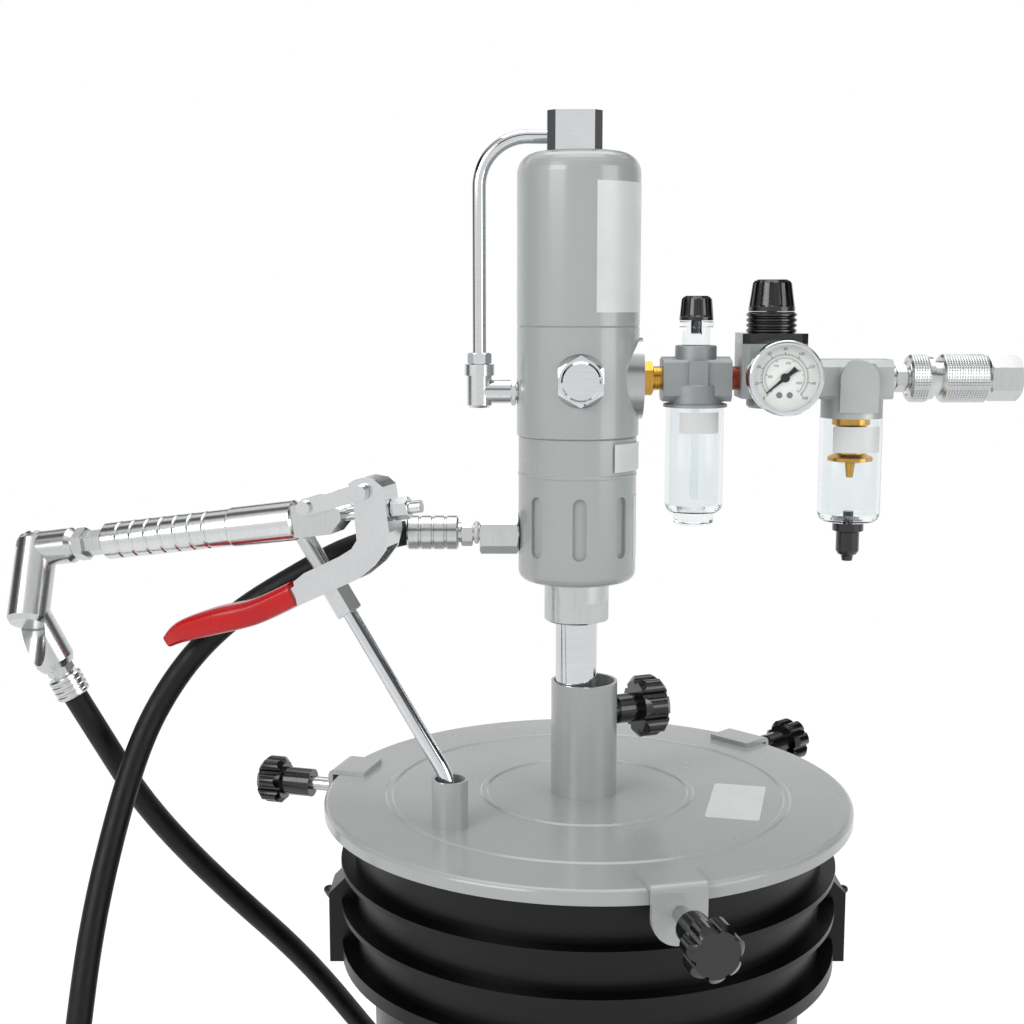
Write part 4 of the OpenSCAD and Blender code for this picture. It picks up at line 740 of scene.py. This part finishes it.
def on_dial(share, ring):
    """The place on a ring of the dial at a share of the scale, turned to face outwards."""
    angle = math.radians(SCALE_FROM + SCALE_SWEEP * share)
    return DIAL @ Matrix.Rotation(angle - math.pi / 2, 4, "Z") @ Matrix.Translation((0, ring, 0))


# Each scale: its ring, how many ticks it has, every which one is long, and how long, inwards if negative.
SCALES = ((12.6 * MM, 80, 10, 1.7 * MM), (11.2 * MM, 55, 11, -1.4 * MM))
THIN_TICK, THICK_TICK, SHORT_SHARE = 0.22 * MM, 0.36 * MM, 0.55
marks = []
for ring, count, big, longest in SCALES:
    for i in range(count + 1):
        length = longest * (1 if i % big == 0 else SHORT_SHARE)
        marks.append(plate(THIN_TICK if i % big else THICK_TICK, abs(length),
                           on_dial(i / count, ring + length / 2)))
ARC_RINGS, ARC_STEPS, ARC_LINE, OVERLAP = (12.5 * MM, 11.3 * MM), 90, 0.14 * MM, 1.02
for ring in ARC_RINGS:
    step = ring * math.radians(abs(SCALE_SWEEP)) / ARC_STEPS
    for i in range(ARC_STEPS):
        marks.append(plate(step * OVERLAP, ARC_LINE, on_dial((i + 0.5) / ARC_STEPS, ring)))
print("ticks and arc pieces:", len(marks))

# %% [markdown]
# The outer numbers count in twenties and the inner ones in two hundreds. They stand upright all round, so a
# number is only moved to its place on the ring, and not turned with it.

# %% Gauge numbers
def number(text, size, ring, share):
    """A printed number, upright, on a ring of the dial."""
    pick()
    bpy.ops.object.text_add()
    word = bpy.context.object
    word.data.body = text
    word.data.size = size
    word.data.align_x = "CENTER"
    word.data.align_y = "CENTER"
    bpy.ops.object.convert(target="MESH")
    word = bpy.context.object
    angle = math.radians(SCALE_FROM + SCALE_SWEEP * share)
    word.matrix_world = DIAL @ Matrix.Translation((ring * math.cos(angle), ring * math.sin(angle), 0))
    bpy.ops.object.transform_apply(location=True, rotation=True)
    return word


OUTER, INNER = (2.3 * MM, 15.9 * MM), (1.9 * MM, 8.3 * MM)
marks += [number(str(20 * i), *OUTER, i / 8) for i in range(9)]
marks += [number(str(200 * i), *INNER, i / 5.5) for i in range(1, 6)]
pick(*marks)
bpy.ops.object.join()
scale_print = bpy.context.object
print_skin = scale_print.modifiers.new("Solidify", "SOLIDIFY")
print_skin.thickness = INK_T
print_skin.offset = 1
apply_all(scale_print)
settle(scale_print, "gauge_scale", "pump", ink)
print("gauge marks:", len(marks))

# %% [markdown]
# Two slotted screws hold the dial. A bevelled disc is the head, and a boolean with a thin bar cuts its slot.
# The slots point different ways, as screws that were turned tight do.

# %% Small screws of the dial
SCREW_R, SCREW_T, SCREW_LIFT, SLOT_W = 1.7 * MM, 0.5 * MM, 0.3 * MM, 0.4 * MM
SCREWS_AT = ((-2.9 * MM, 40), (2.9 * MM, -35))
for i, (across, slot_turn) in enumerate(SCREWS_AT):
    pick()
    bpy.ops.mesh.primitive_cylinder_add(vertices=32, radius=SCREW_R, depth=SCREW_T)
    head = bpy.context.object
    bpy.ops.object.mode_set(mode="EDIT")
    bpy.ops.mesh.select_all(action="SELECT")
    bpy.ops.mesh.bevel(offset=0.15 * MM, segments=2, affect="EDGES")
    bpy.ops.object.mode_set(mode="OBJECT")
    pick()
    bpy.ops.mesh.primitive_cube_add(size=1)
    slot_cut = bpy.context.object
    slot_cut.scale = (4 * MM, SLOT_W, SLOT_W)
    slot_cut.location = (0, 0, SCREW_LIFT)
    slot_cut.rotation_euler = (0, 0, math.radians(slot_turn))
    bpy.ops.object.transform_apply(location=True, rotation=True, scale=True)
    groove = head.modifiers.new("Boolean", "BOOLEAN")
    groove.object = slot_cut
    groove.operation = "DIFFERENCE"
    groove.solver = "EXACT"
    apply_all(head)
    bpy.data.objects.remove(slot_cut)
    head.matrix_world = DIAL @ Matrix.Translation((across, -9.6 * MM, SCREW_LIFT))
    settle(head, f"dial_screw_{i + 1}", "pump", FINISHES["screw_steel"])
print("screws of the dial:", len(SCREWS_AT))

# %% [markdown]
# Sealing compound squeezes out where the outlet is screwed together. It is soft and uneven, so a torus
# gets seeded noise on its points before it is smoothed.

# %% Sealant at the outlet
pick()
bpy.ops.mesh.primitive_torus_add(major_segments=64, minor_segments=14, major_radius=5.4 * MM,
                                 minor_radius=1.5 * MM)
sealant = bpy.context.object
bpy.ops.object.mode_set(mode="EDIT")
bpy.ops.mesh.select_all(action="SELECT")
bpy.ops.transform.vertex_random(offset=0.5 * MM, uniform=0.5, normal=0.5, seed=7)
bpy.ops.mesh.vertices_smooth(factor=0.6, repeat=3)
bpy.ops.object.mode_set(mode="OBJECT")
sealant.matrix_world = (Matrix.Translation((-66.1 * MM, PUMP.y, 529.5 * MM))
                        @ Matrix.Rotation(math.radians(90), 4, "Y"))
settle(sealant, "outlet_sealant", "pump", FINISHES["sealant"], smooth=80)
print("sealant:", len(sealant.data.polygons), "faces")

# %% [markdown]
# The studio is white. The floor is real and lights the object from below, and the shadow of the object lies on
# it. Seen by the camera, the floor also glows a little, and far out it only glows, so that it ends in the white
# of the world with no horizon. Chrome only looks like chrome when it mirrors dark things too, which is why the
# world that a mirror sees gets dark strips, as black cards beside a light box give.

# %% Helpers for light paths
def larger(tree, first, second):
    """The larger of two values."""
    step = tree.nodes.new("ShaderNodeMath")
    step.operation = "MAXIMUM"
    tree.links.new(first, step.inputs[0])
    tree.links.new(second, step.inputs[1])
    return step.outputs[0]


def rays_of(tree):
    """Two masks: rays that reach the camera, straight or through glass, and rays from a mirror."""
    rays = tree.nodes.new("ShaderNodeLightPath").outputs
    return larger(tree, rays["Is Camera Ray"], rays["Is Transmission Ray"]), rays["Is Glossy Ray"]


def colour_mix(tree, factor, first, second, blend="MIX"):
    """Two colours, each a grey or a socket, mixed by a socket or a number."""
    node = tree.nodes.new("ShaderNodeMix")
    node.data_type = "RGBA"
    node.blend_type = blend
    a, b, mixed = MIX_SOCKETS["RGBA"]
    for socket, value in ((node.inputs["Factor"], factor), (node.inputs[a], first), (node.inputs[b], second)):
        if not isinstance(value, float):
            tree.links.new(value, socket)
        elif socket.type == "RGBA":
            socket.default_value = (value, value, value, 1)
        else:
            socket.default_value = value
    return node.outputs[mixed]


print("helpers for light paths: larger, rays_of, colour_mix")

# %% [markdown]
# The glow fades in over the floor, from a part of the light near the object to all of it far out. Its strength
# falls as its share grows, so that the floor stays white all over.

# %% Floor
FLOOR_W, FLOOR_DROP, FADE_FROM, FADE_TO = 12, 0.5 * MM, 0.5, 1.9
bpy.ops.mesh.primitive_plane_add(size=FLOOR_W, location=(0, 0, -FLOOR_DROP))
floor = bpy.context.object
floor.name = "studio_floor"
floor_paint = bpy.data.materials.new("studio_floor")
floor_paint.use_nodes = True
tree = floor_paint.node_tree
shader = tree.nodes["Principled BSDF"]
shader.inputs["Base Color"].default_value = (0.85, 0.85, 0.85, 1)
shader.inputs["Roughness"].default_value = 0.8
reach = vector_step(tree, "LENGTH", tree.nodes.new("ShaderNodeTexCoord").outputs["Object"])


def fade(near, far):
    """A value that changes over the floor, from near the object to far out."""
    ramp = tree.nodes.new("ShaderNodeMapRange")
    for label, value in (("From Min", FADE_FROM), ("From Max", FADE_TO), ("To Min", near), ("To Max", far)):
        ramp.inputs[label].default_value = value
    tree.links.new(reach, ramp.inputs["Value"])
    return ramp.outputs["Result"]


seen, mirrored = rays_of(tree)
white = tree.nodes.new("ShaderNodeEmission")
tree.links.new(colour_mix(tree, seen, 0.9, 1.0), white.inputs["Color"])
tree.links.new(fade(1.28, 1.0), white.inputs["Strength"])
part_glow = tree.nodes.new("ShaderNodeMath")
part_glow.operation = "MULTIPLY"
tree.links.new(larger(tree, seen, mirrored), part_glow.inputs[0])
tree.links.new(fade(0.6, 1.0), part_glow.inputs[1])
choice = tree.nodes.new("ShaderNodeMixShader")
tree.links.new(part_glow.outputs[0], choice.inputs["Fac"])
tree.links.new(shader.outputs["BSDF"], choice.inputs[1])
tree.links.new(white.outputs["Emission"], choice.inputs[2])
tree.links.new(choice.outputs["Shader"], tree.nodes["Material Output"].inputs["Surface"])
floor.data.materials.append(floor_paint)
print("floor:", FLOOR_W, "m across")

# %% [markdown]
# Three large area lights light the object from the left, the right and above. A large light gives soft edges
# to the shadows, and a low level keeps the grey paint grey.

# %% Lights
def soft_light(name, place, target, size, watts):
    """A square area light that looks at a target."""
    bpy.ops.object.light_add(type="AREA", location=place)
    lamp = bpy.context.object
    lamp.name = name
    lamp.data.size = size
    lamp.data.energy = watts
    lamp.rotation_euler = (Vector(target) - Vector(place)).to_track_quat("-Z", "Y").to_euler()


LIGHTS = {"key_light": ((-1.5, -1.6, 1.5), (0, 0, 0.45), 1.3, 26),
          "fill_light": ((1.8, -1.2, 0.9), (0, 0, 0.45), 1.2, 12),
          "top_light": ((0, 0.3, 2.3), (0, 0, 0.4), 1.6, 16)}
for name, (place, target, size, watts) in LIGHTS.items():
    soft_light(name, place, target, size, watts)
print("lights:", len(LIGHTS))

# %% [markdown]
# The world answers each kind of ray in its own way. A camera ray sees white, a mirror sees strips of light and
# dark, made from the direction that it looks in, and all other rays get an even grey that fills the shadows.

# %% World
world = bpy.data.worlds.new("studio")
world.use_nodes = True
scene.world = world
air = world.node_tree
sight = air.nodes.new("ShaderNodeTexCoord")
parts = air.nodes.new("ShaderNodeSeparateXYZ")
air.links.new(sight.outputs["Generated"], parts.inputs[0])


def strips(value, low, high, stops):
    """Grey strips along a value that runs from low to high, from stops of place and brightness."""
    share = air.nodes.new("ShaderNodeMapRange")
    share.inputs["From Min"].default_value = low
    share.inputs["From Max"].default_value = high
    air.links.new(value, share.inputs["Value"])
    ramp = air.nodes.new("ShaderNodeValToRGB")
    ramp.color_ramp.interpolation = "EASE"
    elements = ramp.color_ramp.elements
    while len(elements) < len(stops):
        elements.new(0.5)
    for element, (at, grey) in zip(elements, stops):
        element.position = at
        element.color = (grey, grey, grey, 1)
    air.links.new(share.outputs["Result"], ramp.inputs["Fac"])
    return ramp.outputs["Color"]


BANDS = [(0.0, 0.9), (0.5, 0.95), (0.56, 0.95), (0.64, 0.9),
         (0.69, 0.12), (0.76, 0.1), (0.82, 0.85), (1.0, 1.0)]
POSTS = [(0.0, 0.95), (0.06, 0.9), (0.2, 1.0), (0.25, 0.1), (0.31, 0.12), (0.36, 1.0),
         (0.6, 1.0), (0.68, 0.15), (0.76, 0.12), (0.8, 1.0), (0.93, 0.9), (1.0, 0.95)]
turn = air.nodes.new("ShaderNodeMath")
turn.operation = "ARCTAN2"
for socket, part in zip(turn.inputs, "XY"):
    air.links.new(parts.outputs[part], socket)
bands = strips(parts.outputs["Z"], -1, 1, BANDS)
posts = strips(turn.outputs[0], -math.pi, math.pi, POSTS)
seen, mirrored = rays_of(air)
in_mirrors = colour_mix(air, 1.0, bands, posts, "MULTIPLY")
unseen = colour_mix(air, mirrored, 0.5, in_mirrors)
air.links.new(colour_mix(air, seen, unseen, 1.0), air.nodes["Background"].inputs["Color"])
scene.view_settings.view_transform = "Standard"
print("world:", len(air.nodes), "nodes")
